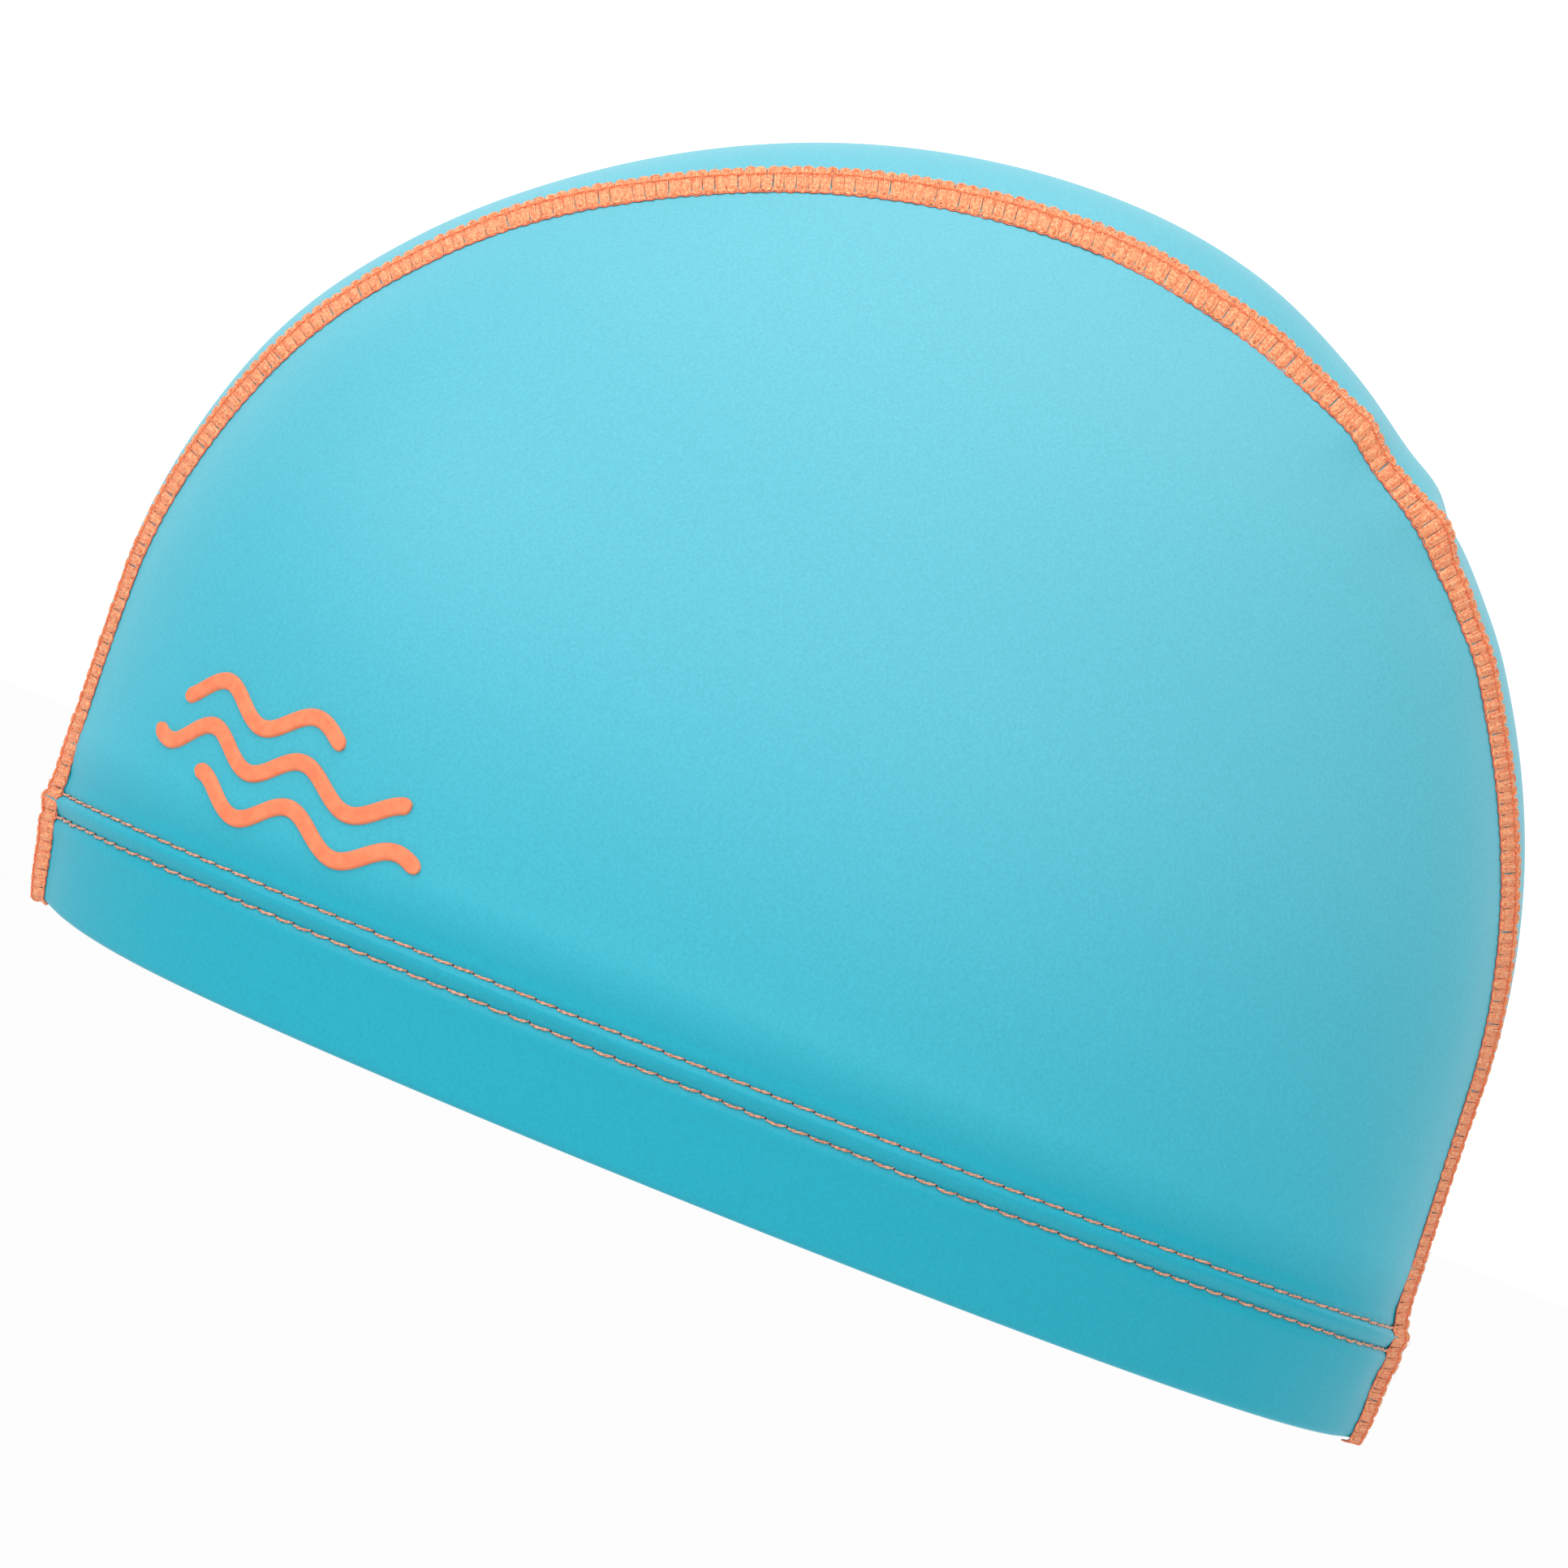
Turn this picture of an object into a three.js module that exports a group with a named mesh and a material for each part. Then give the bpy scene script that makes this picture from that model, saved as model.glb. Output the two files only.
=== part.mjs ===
// A swim cap of coated stretch fabric: two side panels and a crown strip, joined by two flatlock seams.
// Millimetres, +Z up. The origin is the middle of the hem's plane, the forehead faces -Y and the
// wearer's left is +X.
import * as THREE from "three";

// Sizes of the whole cap
const CAP_LENGTH = 205.4; // forehead to nape, over the crown strip
const CAP_WIDTH = 148; // over the side panels, at their widest height
const CAP_HEIGHT = 147.7; // hem to the crest of the crown strip
const BELT_HEIGHT = 50; // below it the crown strip stands nearly upright
const WIDEST_HEIGHT = 20; // where the side panels are farthest apart
const CROWN_SETBACK = 5.8; // how far the crest's top lies behind the middle
const HEM_TUCK = 0.8; // how far the side panels draw in below the widest height
const SIDE_FULLNESS = 0.74; // 0.5 is an elliptic front view, 1 a pointed one

// Cloth
const WALL = 1;
const HEM_HEIGHT = 19; // depth of the fold at the hem, where the cloth lies double
const HEM_WALL = 2 * WALL;
const STRIP_WIDTH = 40; // between the seams at the top
const STRIP_RISE = 7.8; // crest over the seams at the top

// Flatlock seams
const CLEARANCE = 0.3; // between neighbouring pieces
const SEAM_WIDTH = 6;
const SEAM_COVER = 0.75; // thickness of the thread on the outside, at its middle
const SEAM_EDGE = 0.4; // and at its edges
const INNER_WIDTH = 5;
const INNER_COVER = 0.5;
const SEAM_WEB = 0.5; // thread that runs through between the cloth edges
const BUTT_GAP = SEAM_WEB + 2 * CLEARANCE;

// Raised wave strokes low on the left panel, towards the forehead
const EMBLEM_HEIGHT = 32;
const EMBLEM_ANGLE = 47; // degrees round the panel from the forehead
const STROKE_WIDTH = 2.3;
const STROKE_RISE = 0.45;
const STROKE_TOP = 0.8; // the flat top's share of the stroke's width
const STROKE_TIP = STROKE_WIDTH / 20; // how far the ends are cut off short of their points
const WAVE_LENGTH = 17;
const WAVE_SWING = 2; // either side of the stroke's middle line
const WAVE_SPACING = 6.2; // from one stroke to the next

// The crest's profile below the belt, as shares of the belt height and of half the cap's length
const SKIRT_ROWS = [
  { up: 0, front: 0.945, back: 0.988 },
  { up: 0.1, front: 0.955, back: 0.994 },
  { up: 0.2, front: 0.964, back: 1 },
  { up: 0.3, front: 0.972, back: 0.998 },
  { up: 0.44, front: 0.98, back: 0.986 },
  { up: 0.6, front: 0.988, back: 0.98 },
  { up: 0.8, front: 0.995, back: 0.974 },
  { up: 1, front: 1, back: 0.97 },
];

// The crest's profile above the belt: the turn goes in degrees from the forehead over the top to the
// nape, and the reach is a share of the ellipse that the named sizes give
const ARCH_ROWS = [
  { turn: 0, reach: 1 },
  { turn: 12, reach: 1.002 },
  { turn: 24, reach: 1.005 },
  { turn: 36, reach: 0.996 },
  { turn: 48, reach: 0.988 },
  { turn: 60, reach: 0.988 },
  { turn: 75, reach: 0.994 },
  { turn: 90, reach: 1 },
  { turn: 104, reach: 1.002 },
  { turn: 114, reach: 0.994 },
  { turn: 128, reach: 0.987 },
  { turn: 150, reach: 0.988 },
  { turn: 165, reach: 0.993 },
  { turn: 180, reach: 1 },
];

// The crown strip's section, by the crest's height as a share of the cap's: shares of its width and rise
const STRIP_ROWS = [
  { up: 0, width: 0.7, rise: 0.22 },
  { up: 0.35, width: 0.78, rise: 0.31 },
  { up: 0.6, width: 0.86, rise: 0.48 },
  { up: 0.75, width: 0.9, rise: 0.58 },
  { up: 0.9, width: 0.96, rise: 0.8 },
  { up: 1, width: 1, rise: 1 },
];

// Folds: where they lie along the strip, in degrees as above, how far out from the middle in shares of
// the strip's half width, their length along the strip and their width across it in shares of the
// strip's width, and their lift in shares of its rise
const FOLD_ROWS = [
  { turn: 127.3, across: 0.5, along: 0.14, wide: 0.37, lift: 0.11 },
  { turn: 118, across: 0.9, along: 0.15, wide: 0.27, lift: 0.08 },
  { turn: 142, across: 0.9, along: 0.15, wide: 0.25, lift: 0.08 },
  { turn: 102, across: 1, along: 0.22, wide: 0.22, lift: -0.09 },
];
// The seams' puffs and pinches in the hem, with their height in shares of the hem's
const PINCH_ROWS = [
  { end: "front", up: 0.84, along: 0.14, wide: 0.24, lift: 0.09 },
  { end: "back", up: 0.5, along: 0.11, wide: 0.22, lift: -0.11 },
];
// How far below and above the surface a fold is felt, in fold widths
const FOLD_DEPTH = 3;

// Where each stroke lies from the emblem's middle, in rows, and its start and length in wavelengths
const STROKE_ROWS = [
  { name: "emblem_wave_upper", row: 1, start: -1.2, length: 1.75 },
  { name: "emblem_wave_middle", row: 0, start: -1.45, length: 2.7 },
  { name: "emblem_wave_lower", row: -1, start: -0.8, length: 2.25 },
];

// Facets
const HEM_LEVELS = [0, HEM_HEIGHT / 2, HEM_HEIGHT, HEM_HEIGHT + WALL];
const RISE_STEPS = 12; // from the hem's fold up to the shoulders
const ARCH_STEPS = 34; // from shoulder to shoulder over the top
const SHOULDER_TURN = 25;
const ACROSS_STEPS = 8; // across the crown strip
const STROKE_STEPS = 26;
const FINE_RISE = 0.5; // steps of the lines that the even facets are picked from
const FINE_TURN = 0.25;

const halfLength = CAP_LENGTH / 2;
const halfWidth = CAP_WIDTH / 2;
const radians = THREE.MathUtils.degToRad;
const clamp = THREE.MathUtils.clamp;

// The value of one column at a place between the rows of a table, on a smooth curve through them.
function tableValue(rows, key, column, at) {
  let i = 0;
  while (i < rows.length - 2 && at > rows[i + 1][key]) {
    i += 1;
  }
  const slope = (k) => {
    const before = rows[Math.max(k - 1, 0)];
    const after = rows[Math.min(k + 1, rows.length - 1)];
    return (after[column] - before[column]) / (after[key] - before[key]);
  };
  const span = rows[i + 1][key] - rows[i][key];
  const t = clamp((at - rows[i][key]) / span, 0, 1);
  const from = rows[i][column] * (2 * t ** 3 - 3 * t ** 2 + 1);
  const to = rows[i + 1][column] * (3 * t ** 2 - 2 * t ** 3);
  const leaving = slope(i) * span * (t ** 3 - 2 * t ** 2 + t);
  const arriving = slope(i + 1) * span * (t ** 3 - t ** 2);
  return from + to + leaving + arriving;
}

// The crest of the crown strip in the plane x = 0, above the belt.
function archPoint(turn) {
  const beltBack = halfLength * SKIRT_ROWS[SKIRT_ROWS.length - 1].back;
  const frontReach = halfLength + CROWN_SETBACK;
  const backReach = beltBack - CROWN_SETBACK;
  const share = tableValue(ARCH_ROWS, "turn", "reach", turn);
  const reach = turn < 90 ? frontReach : backReach;
  return {
    y: CROWN_SETBACK - reach * share * Math.cos(radians(turn)),
    z: BELT_HEIGHT + (CAP_HEIGHT - BELT_HEIGHT) * share * Math.sin(radians(turn)),
  };
}

// The same crest below the belt, at one end.
function skirtPoint(end, z) {
  const share = tableValue(SKIRT_ROWS, "up", end, z / BELT_HEIGHT);
  return { y: (end === "front" ? -1 : 1) * halfLength * share, z };
}

// A section through the crown strip: its crest, its outward direction in the profile, half its width,
// its rise, and the radius and half angle of the arc that it follows.
function stripSection(crest, out) {
  const up = crest.z / CAP_HEIGHT;
  const half = (STRIP_WIDTH / 2) * tableValue(STRIP_ROWS, "up", "width", up);
  const rise = STRIP_RISE * tableValue(STRIP_ROWS, "up", "rise", up);
  const radius = (half ** 2 + rise ** 2) / (2 * rise);
  return { crest, out, half, rise, radius, spread: Math.asin(half / radius) };
}

function archSection(turn) {
  const step = 0.01;
  const before = archPoint(Math.max(turn - step, 0));
  const after = archPoint(Math.min(turn + step, 180));
  const run = Math.hypot(after.y - before.y, after.z - before.z);
  const out = { y: -(after.z - before.z) / run, z: (after.y - before.y) / run };
  return stripSection(archPoint(turn), out);
}

function skirtSection(end, z) {
  return stripSection(skirtPoint(end, z), { y: end === "front" ? -1 : 1, z: 0 });
}

// The seam's line on the wearer's left, where the strip's section ends.
function seamOf(section) {
  return {
    half: section.half,
    y: section.crest.y - section.out.y * section.rise,
    z: section.crest.z - section.out.z * section.rise,
  };
}

// The turn at which the seam is highest, by a search that narrows round it.
function findApexTurn() {
  let low = 0;
  let high = 180;
  while (high - low > 1e-7) {
    const left = low + (high - low) / 3;
    const right = high - (high - low) / 3;
    if (seamOf(archSection(left)).z < seamOf(archSection(right)).z) {
      low = left;
    } else {
      high = right;
    }
  }
  return (low + high) / 2;
}

const apexTurn = findApexTurn();
const apex = seamOf(archSection(apexTurn));

// Where the seam crosses a height, towards the forehead or the nape.
function seamAt(end, z) {
  if (z <= BELT_HEIGHT) {
    return seamOf(skirtSection(end, z));
  }
  let low = end === "front" ? 0 : 180;
  let high = apexTurn;
  for (let i = 0; i < 40; i += 1) {
    const middle = (low + high) / 2;
    if (seamOf(archSection(middle)).z < z) {
      low = middle;
    } else {
      high = middle;
    }
  }
  return seamOf(archSection(high));
}

// Half the cap's width at a height: it narrows to the strip's width at the seams' highest point.
function halfWidthAt(z) {
  if (z < WIDEST_HEIGHT) {
    return halfWidth - HEM_TUCK * (1 - z / WIDEST_HEIGHT) ** 2;
  }
  const left = (apex.half / halfWidth) ** (1 / SIDE_FULLNESS);
  const share = (z - WIDEST_HEIGHT) / (apex.z - WIDEST_HEIGHT);
  return halfWidth * (1 - (1 - left) * share ** 2) ** SIDE_FULLNESS;
}

// The side panel's section at a height: an elliptic arc from seam to seam.
function panelSection(z) {
  const half = halfWidthAt(z);
  const front = seamAt("front", z);
  const back = seamAt("back", z);
  const from = Math.asin(Math.min(front.half / half, 1));
  const to = Math.PI - Math.asin(Math.min(back.half / half, 1));
  const reach = (back.y - front.y) / Math.max(Math.cos(from) - Math.cos(to), 1e-9);
  return { half, reach, middle: front.y + reach * Math.cos(from), from, to };
}

function panelPoint(angle, z) {
  const section = panelSection(z);
  return new THREE.Vector3(
    section.half * Math.sin(angle),
    section.middle - section.reach * Math.cos(angle),
    z,
  );
}

// The panel's point with its two directions of travel and its outward normal.
function panelFrame(angle, z) {
  const turnStep = 1e-4;
  const riseStep = 0.02;
  const point = panelPoint(angle, z);
  const alongHem = panelPoint(angle + turnStep, z).sub(point).divideScalar(turnStep);
  const up =
    z < 1
      ? panelPoint(angle, z + riseStep).sub(point).divideScalar(riseStep)
      : point.clone().sub(panelPoint(angle, z - riseStep)).divideScalar(riseStep);
  const normal = alongHem.clone().cross(up).normalize();
  return { point, alongHem, up, normal };
}

// A spot on the panel at a distance from the seam, measured square to it, or level in the hem.
function besideSeam(station, distance) {
  const seam = station.seam;
  const section = panelSection(seam.z);
  const front = seam.y < apex.y;
  let angle = front ? section.from : section.to;
  let z = seam.z;
  if (z <= HEM_HEIGHT + WALL) {
    const run = panelFrame(angle, z).alongHem.length();
    return { angle: angle + ((front ? 1 : -1) * distance) / run, z };
  }
  const start = new THREE.Vector3(seam.half, seam.y, seam.z);
  const below = z - 1e-3;
  const inside = panelFrame(angle, below);
  const inward = inside.normal.clone().cross(station.along).multiplyScalar(-1).normalize();
  const target = start.addScaledVector(inward, distance);
  z = below;
  for (let i = 0; i < 6; i += 1) {
    const at = panelFrame(angle, z);
    const miss = target.clone().sub(at.point);
    const aa = at.alongHem.dot(at.alongHem);
    const ab = at.alongHem.dot(at.up);
    const bb = at.up.dot(at.up);
    const am = at.alongHem.dot(miss);
    const bm = at.up.dot(miss);
    const area = aa * bb - ab * ab;
    angle += (am * bb - bm * ab) / area;
    z = Math.min(z + (bm * aa - am * ab) / area, apex.z - 1e-3);
  }
  return { angle, z };
}

// The stations along the crest, from the hem at the forehead over the top to the hem at the nape.
function makeStations() {
  const rising = shareOut(HEM_HEIGHT + WALL, SHOULDER_TURN, RISE_STEPS, "front");
  const falling = shareOut(HEM_HEIGHT + WALL, 180 - SHOULDER_TURN, RISE_STEPS, "back").reverse();
  const over = evenPick(archSections(SHOULDER_TURN, 180 - SHOULDER_TURN), ARCH_STEPS);
  const sections = [
    ...HEM_LEVELS.slice(0, -1).map((z) => skirtSection("front", z)),
    ...rising,
    ...over.slice(1, -1),
    ...falling,
    ...HEM_LEVELS.slice(0, -1).reverse().map((z) => skirtSection("back", z)),
  ];
  return withDirections(sections);
}

// Sections at even runs along the crest, from a height in the skirt up to a turn on the arch.
function shareOut(fromHeight, toTurn, steps, end) {
  const fine = [];
  for (let z = fromHeight; z < BELT_HEIGHT; z += FINE_RISE) {
    fine.push(skirtSection(end, z));
  }
  const beltTurn = end === "front" ? 0 : 180;
  return evenPick([...fine, ...archSections(beltTurn, toTurn)], steps);
}

function archSections(fromTurn, toTurn) {
  const count = Math.round(Math.abs(toTurn - fromTurn) / FINE_TURN);
  const sections = [];
  for (let i = 0; i <= count; i += 1) {
    sections.push(archSection(fromTurn + ((toTurn - fromTurn) * i) / count));
  }
  return sections;
}

function evenPick(fine, steps) {
  const runs = [0];
  for (let i = 1; i < fine.length; i += 1) {
    const a = seamOf(fine[i - 1]);
    const b = seamOf(fine[i]);
    runs.push(runs[i - 1] + Math.hypot(b.y - a.y, b.z - a.z, b.half - a.half));
  }
  const whole = runs[runs.length - 1];
  const picked = [];
  for (let k = 0; k <= steps; k += 1) {
    const wanted = (whole * k) / steps;
    let i = 0;
    while (i < runs.length - 1 && runs[i + 1] < wanted - 1e-9) {
      i += 1;
    }
    const nearer = wanted - runs[i] < runs[Math.min(i + 1, runs.length - 1)] - wanted ? i : i + 1;
    picked.push(fine[k === steps ? fine.length - 1 : Math.min(nearer, fine.length - 1)]);
  }
  return picked;
}

// Each section with its seam and the seam's direction of travel from forehead to nape.
function withDirections(sections) {
  const seams = sections.map(seamOf);
  return sections.map((section, i) => {
    const a = seams[Math.max(i - 1, 0)];
    const b = seams[Math.min(i + 1, seams.length - 1)];
    const along = new THREE.Vector3(b.half - a.half, b.y - a.y, b.z - a.z).normalize();
    return { ...section, seam: seams[i], along };
  });
}

// How far the folds and pinches lift the cloth at a point of either side.
function foldLift(point) {
  let lift = 0;
  for (const fold of folds) {
    const away = point.clone().sub(fold.centre);
    away.x = Math.abs(point.x) - fold.centre.x;
    const along = away.dot(fold.along) / fold.lengthAlong;
    const across = away.x / fold.wide;
    const deep = away.dot(fold.out) / (FOLD_DEPTH * fold.wide);
    lift += fold.lift * Math.exp(-(along ** 2) - across ** 2 - deep ** 2);
  }
  return lift;
}

function foldAt(section, across, row) {
  const out = new THREE.Vector3(0, section.out.y, section.out.z);
  return {
    centre: new THREE.Vector3(section.half * across, section.crest.y, section.crest.z),
    out,
    along: new THREE.Vector3(0, out.z, -out.y),
    lengthAlong: row.along * STRIP_WIDTH,
    wide: row.wide * STRIP_WIDTH,
    lift: row.lift * STRIP_RISE,
  };
}

const folds = [
  ...FOLD_ROWS.map((row) => foldAt(archSection(row.turn), row.across, row)),
  ...PINCH_ROWS.map((row) => foldAt(skirtSection(row.end, row.up * HEM_HEIGHT), 1, row)),
];

// The cloth's outer point and another at a depth below it, or above it where the depth is negative.
function clothSpot(point, normal, depth) {
  const outer = point.clone().addScaledVector(normal, foldLift(point));
  return outer.addScaledVector(normal, -depth);
}

function panelSpot(angle, z, depth) {
  const frame = panelFrame(angle, z);
  if (z === 0) {
    frame.normal.setZ(0).normalize();
  }
  return clothSpot(frame.point, frame.normal, depth);
}

// A spot on the crown strip, at an angle from its crest towards the wearer's left.
function stripSpot(section, angle, depth) {
  const drop = section.radius * (1 - Math.cos(angle));
  const point = new THREE.Vector3(
    section.radius * Math.sin(angle),
    section.crest.y - section.out.y * drop,
    section.crest.z - section.out.z * drop,
  );
  const normal = new THREE.Vector3(
    Math.sin(angle),
    section.out.y * Math.cos(angle),
    section.out.z * Math.cos(angle),
  );
  return clothSpot(point, normal, depth);
}

function clothDepthAt(z) {
  return z <= HEM_HEIGHT ? HEM_WALL : WALL;
}

// A closed shell between an outer and an inner grid of points, each a list of rows.
function shellGeometry(outer, inner, flip) {
  const rows = outer.length;
  const columns = outer[0].length;
  const points = [...outer.flat(), ...inner.flat()];
  const outerAt = (j, i) => j * columns + i;
  const innerAt = (j, i) => rows * columns + j * columns + i;
  const faces = [];
  const quad = (a, b, c, d) => faces.push([a, b, c], [a, c, d]);
  for (let j = 0; j < rows - 1; j += 1) {
    for (let i = 0; i < columns - 1; i += 1) {
      quad(outerAt(j, i), outerAt(j, i + 1), outerAt(j + 1, i + 1), outerAt(j + 1, i));
      quad(innerAt(j, i), innerAt(j + 1, i), innerAt(j + 1, i + 1), innerAt(j, i + 1));
    }
    const end = columns - 1;
    quad(outerAt(j, 0), outerAt(j + 1, 0), innerAt(j + 1, 0), innerAt(j, 0));
    quad(outerAt(j + 1, end), outerAt(j, end), innerAt(j, end), innerAt(j + 1, end));
  }
  for (let i = 0; i < columns - 1; i += 1) {
    const end = rows - 1;
    quad(outerAt(0, i + 1), outerAt(0, i), innerAt(0, i), innerAt(0, i + 1));
    quad(outerAt(end, i), outerAt(end, i + 1), innerAt(end, i + 1), innerAt(end, i));
  }
  return meshGeometry(points, faces, flip);
}

// A closed bar through a row of outlines that all have the same number of corners, with its two ends
// closed by the given triangles of an outline.
function closedBar(outlines, endTriangles, flip) {
  const corners = outlines[0].length;
  const last = outlines.length - 1;
  const at = (k, i) => k * corners + (i % corners);
  const faces = [];
  for (let k = 0; k < last; k += 1) {
    for (let i = 0; i < corners; i += 1) {
      faces.push([at(k, i), at(k, i + 1), at(k + 1, i + 1)]);
      faces.push([at(k, i), at(k + 1, i + 1), at(k + 1, i)]);
    }
  }
  for (const [a, b, c] of endTriangles) {
    faces.push([at(0, a), at(0, c), at(0, b)]);
    faces.push([at(last, a), at(last, b), at(last, c)]);
  }
  return meshGeometry(outlines.flat(), faces, flip);
}

function meshGeometry(points, faces, flip) {
  const geometry = new THREE.BufferGeometry();
  geometry.setFromPoints(points);
  geometry.setIndex(faces.flatMap(([a, b, c]) => (flip ? [a, c, b] : [a, b, c])));
  const flat = geometry.toNonIndexed();
  flat.computeVertexNormals();
  return flat;
}

const toSide = (side) => (point) => new THREE.Vector3(point.x * side, point.y, point.z);

// The grid of a side panel in section angles and heights: level rows through the hem, and above it
// rows that ease from the hem's fold into the arch over the top.
function panelGrid(stations) {
  const edge = stations.map((station) => besideSeam(station, BUTT_GAP / 2));
  const hemRows = HEM_LEVELS.length - 1;
  const shoulder = hemRows + RISE_STEPS;
  const last = edge.length - 1;
  const rows = [];
  for (let j = 0; j < hemRows; j += 1) {
    rows.push(levelRow(edge[j], edge[last - j]));
  }
  const bottom = levelRow(edge[hemRows], edge[last - hemRows]);
  const top = edge.slice(shoulder, shoulder + ARCH_STEPS + 1);
  for (let j = 0; j <= RISE_STEPS; j += 1) {
    const v = j / RISE_STEPS;
    const left = edge[hemRows + j];
    const right = edge[last - hemRows - j];
    rows.push(bottom.map((low, i) => blendSpot(low, top[i], left, right, i / ARCH_STEPS, v, top, bottom)));
  }
  return rows;
}

function levelRow(from, to) {
  const row = [];
  for (let i = 0; i <= ARCH_STEPS; i += 1) {
    const share = i / ARCH_STEPS;
    row.push({ angle: from.angle + (to.angle - from.angle) * share, z: from.z + (to.z - from.z) * share });
  }
  return row;
}

// A transfinite blend of the four edges of the panel's upper field.
function blendSpot(low, high, left, right, u, v, top, bottom) {
  const value = (key) => {
    const edges = (1 - v) * low[key] + v * high[key] + (1 - u) * left[key] + u * right[key];
    const lowCorners = (1 - v) * ((1 - u) * bottom[0][key] + u * bottom[ARCH_STEPS][key]);
    const highCorners = v * ((1 - u) * top[0][key] + u * top[ARCH_STEPS][key]);
    return edges - lowCorners - highCorners;
  };
  return { angle: value("angle"), z: value("z") };
}

function sidePanel(grid, side) {
  const place = toSide(side);
  const outer = grid.map((row) => row.map((spot) => place(panelSpot(spot.angle, spot.z, 0))));
  const hemRows = HEM_LEVELS.length - 1;
  const inner = grid.map((row, j) => {
    const depth = j < hemRows ? HEM_WALL : WALL;
    return row.map((spot) => place(panelSpot(spot.angle, spot.z, depth)));
  });
  return shellGeometry(outer, inner, side < 0);
}

function crownStrip(stations) {
  const across = stations.map((station) => {
    const edge = station.spread - BUTT_GAP / 2 / station.radius;
    const angles = [];
    for (let i = 0; i <= ACROSS_STEPS; i += 1) {
      angles.push(edge * ((2 * i) / ACROSS_STEPS - 1));
    }
    return angles;
  });
  const outer = stations.map((station, k) => across[k].map((angle) => stripSpot(station, angle, 0)));
  const inner = stations.map((station, k) =>
    across[k].map((angle) => stripSpot(station, angle, clothDepthAt(station.crest.z))),
  );
  return shellGeometry(outer, inner, false);
}

// One flatlock seam: thread over the outside, through between the cloth edges and over the inside.
function flatlockSeam(stations, side) {
  const place = toSide(side);
  const lifted = stations.map((station) => ({ ...station }));
  const ends = withDirections([skirtSection("front", CLEARANCE), skirtSection("back", CLEARANCE)]);
  lifted[0] = { ...ends[0], along: stations[0].along };
  lifted[lifted.length - 1] = { ...ends[1], along: stations[stations.length - 1].along };
  const outlines = lifted.map((station) => seamOutline(station).map(place));
  const cover = [[0, 1, 2], [0, 2, 13], [13, 2, 6], [6, 2, 3], [6, 3, 5], [3, 4, 5]];
  const web = [[13, 6, 12], [6, 7, 12]];
  const under = [[12, 7, 9], [7, 8, 9], [12, 9, 10], [12, 10, 11]];
  return closedBar(outlines, [...cover, ...web, ...under], side > 0);
}

// The seam's outline at a station, from the panel's side over the cover to the strip's side and back
// under the cloth.
function seamOutline(station) {
  const cloth = station.seam.z < HEM_HEIGHT + 2 * WALL ? HEM_WALL : WALL;
  const under = cloth + CLEARANCE;
  const panel = (distance, height) => {
    const spot = besideSeam(station, distance);
    return panelSpot(spot.angle, spot.z, -height);
  };
  const strip = (distance, height) =>
    stripSpot(station, station.spread - distance / station.radius, -height);
  const middle = (height) => strip(0, height).add(panel(0, height)).multiplyScalar(0.5);
  const wide = SEAM_WIDTH / 2;
  const narrow = INNER_WIDTH / 2;
  const web = SEAM_WEB / 2;
  return [
    panel(wide, CLEARANCE),
    panel(wide, CLEARANCE + SEAM_EDGE),
    middle(CLEARANCE + SEAM_COVER),
    strip(wide / 2, CLEARANCE + SEAM_COVER),
    strip(wide, CLEARANCE + SEAM_EDGE),
    strip(wide, CLEARANCE),
    strip(web, CLEARANCE),
    strip(web, -under),
    strip(narrow, -under),
    middle(-under - INNER_COVER),
    panel(narrow, -under - INNER_COVER / 2),
    panel(narrow, -under),
    panel(web, -under),
    panel(web, CLEARANCE),
  ];
}

// A raised wave stroke that follows the left panel, with round ends.
function waveStroke(row) {
  const angle = radians(EMBLEM_ANGLE);
  const run = panelFrame(angle, EMBLEM_HEIGHT).alongHem.length();
  const start = row.start * WAVE_LENGTH;
  const length = row.length * WAVE_LENGTH;
  const outlines = [];
  for (let k = 0; k <= STROKE_STEPS; k += 1) {
    const share = (1 - Math.cos((Math.PI * k) / STROKE_STEPS)) / 2;
    const along = STROKE_TIP + (length - 2 * STROKE_TIP) * share;
    const toEnd = Math.min(along, length - along, STROKE_WIDTH / 2);
    const half = Math.sqrt(STROKE_WIDTH * toEnd - toEnd ** 2);
    const phase = (2 * Math.PI * (start + along)) / WAVE_LENGTH;
    const climb = (WAVE_SWING * 2 * Math.PI * Math.cos(phase)) / WAVE_LENGTH;
    const tilt = Math.hypot(1, climb);
    const corner = (sideways, height) => {
      const u = start + along - (sideways * climb) / tilt;
      const v = row.row * WAVE_SPACING + WAVE_SWING * Math.sin(phase) + sideways / tilt;
      return panelSpot(angle + u / run, EMBLEM_HEIGHT + v, -height);
    };
    outlines.push([
      corner(-half, CLEARANCE),
      corner(-half * STROKE_TOP, CLEARANCE + STROKE_RISE),
      corner(half * STROKE_TOP, CLEARANCE + STROKE_RISE),
      corner(half, CLEARANCE),
    ]);
  }
  return closedBar(outlines, [[0, 1, 2], [0, 2, 3]], true);
}

function coatedCloth() {
  return new THREE.MeshStandardMaterial({ color: 0x58c5da, roughness: 0.45, metalness: 0 });
}

function seamThread() {
  return new THREE.MeshStandardMaterial({ color: 0xff9562, roughness: 0.8, metalness: 0 });
}

function emblemPrint() {
  return new THREE.MeshStandardMaterial({ color: 0xff8c5a, roughness: 0.5, metalness: 0 });
}

const cap = new THREE.Group();

function addPiece(name, geometry, material) {
  const mesh = new THREE.Mesh(geometry, material);
  mesh.name = name;
  cap.add(mesh);
}

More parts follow.
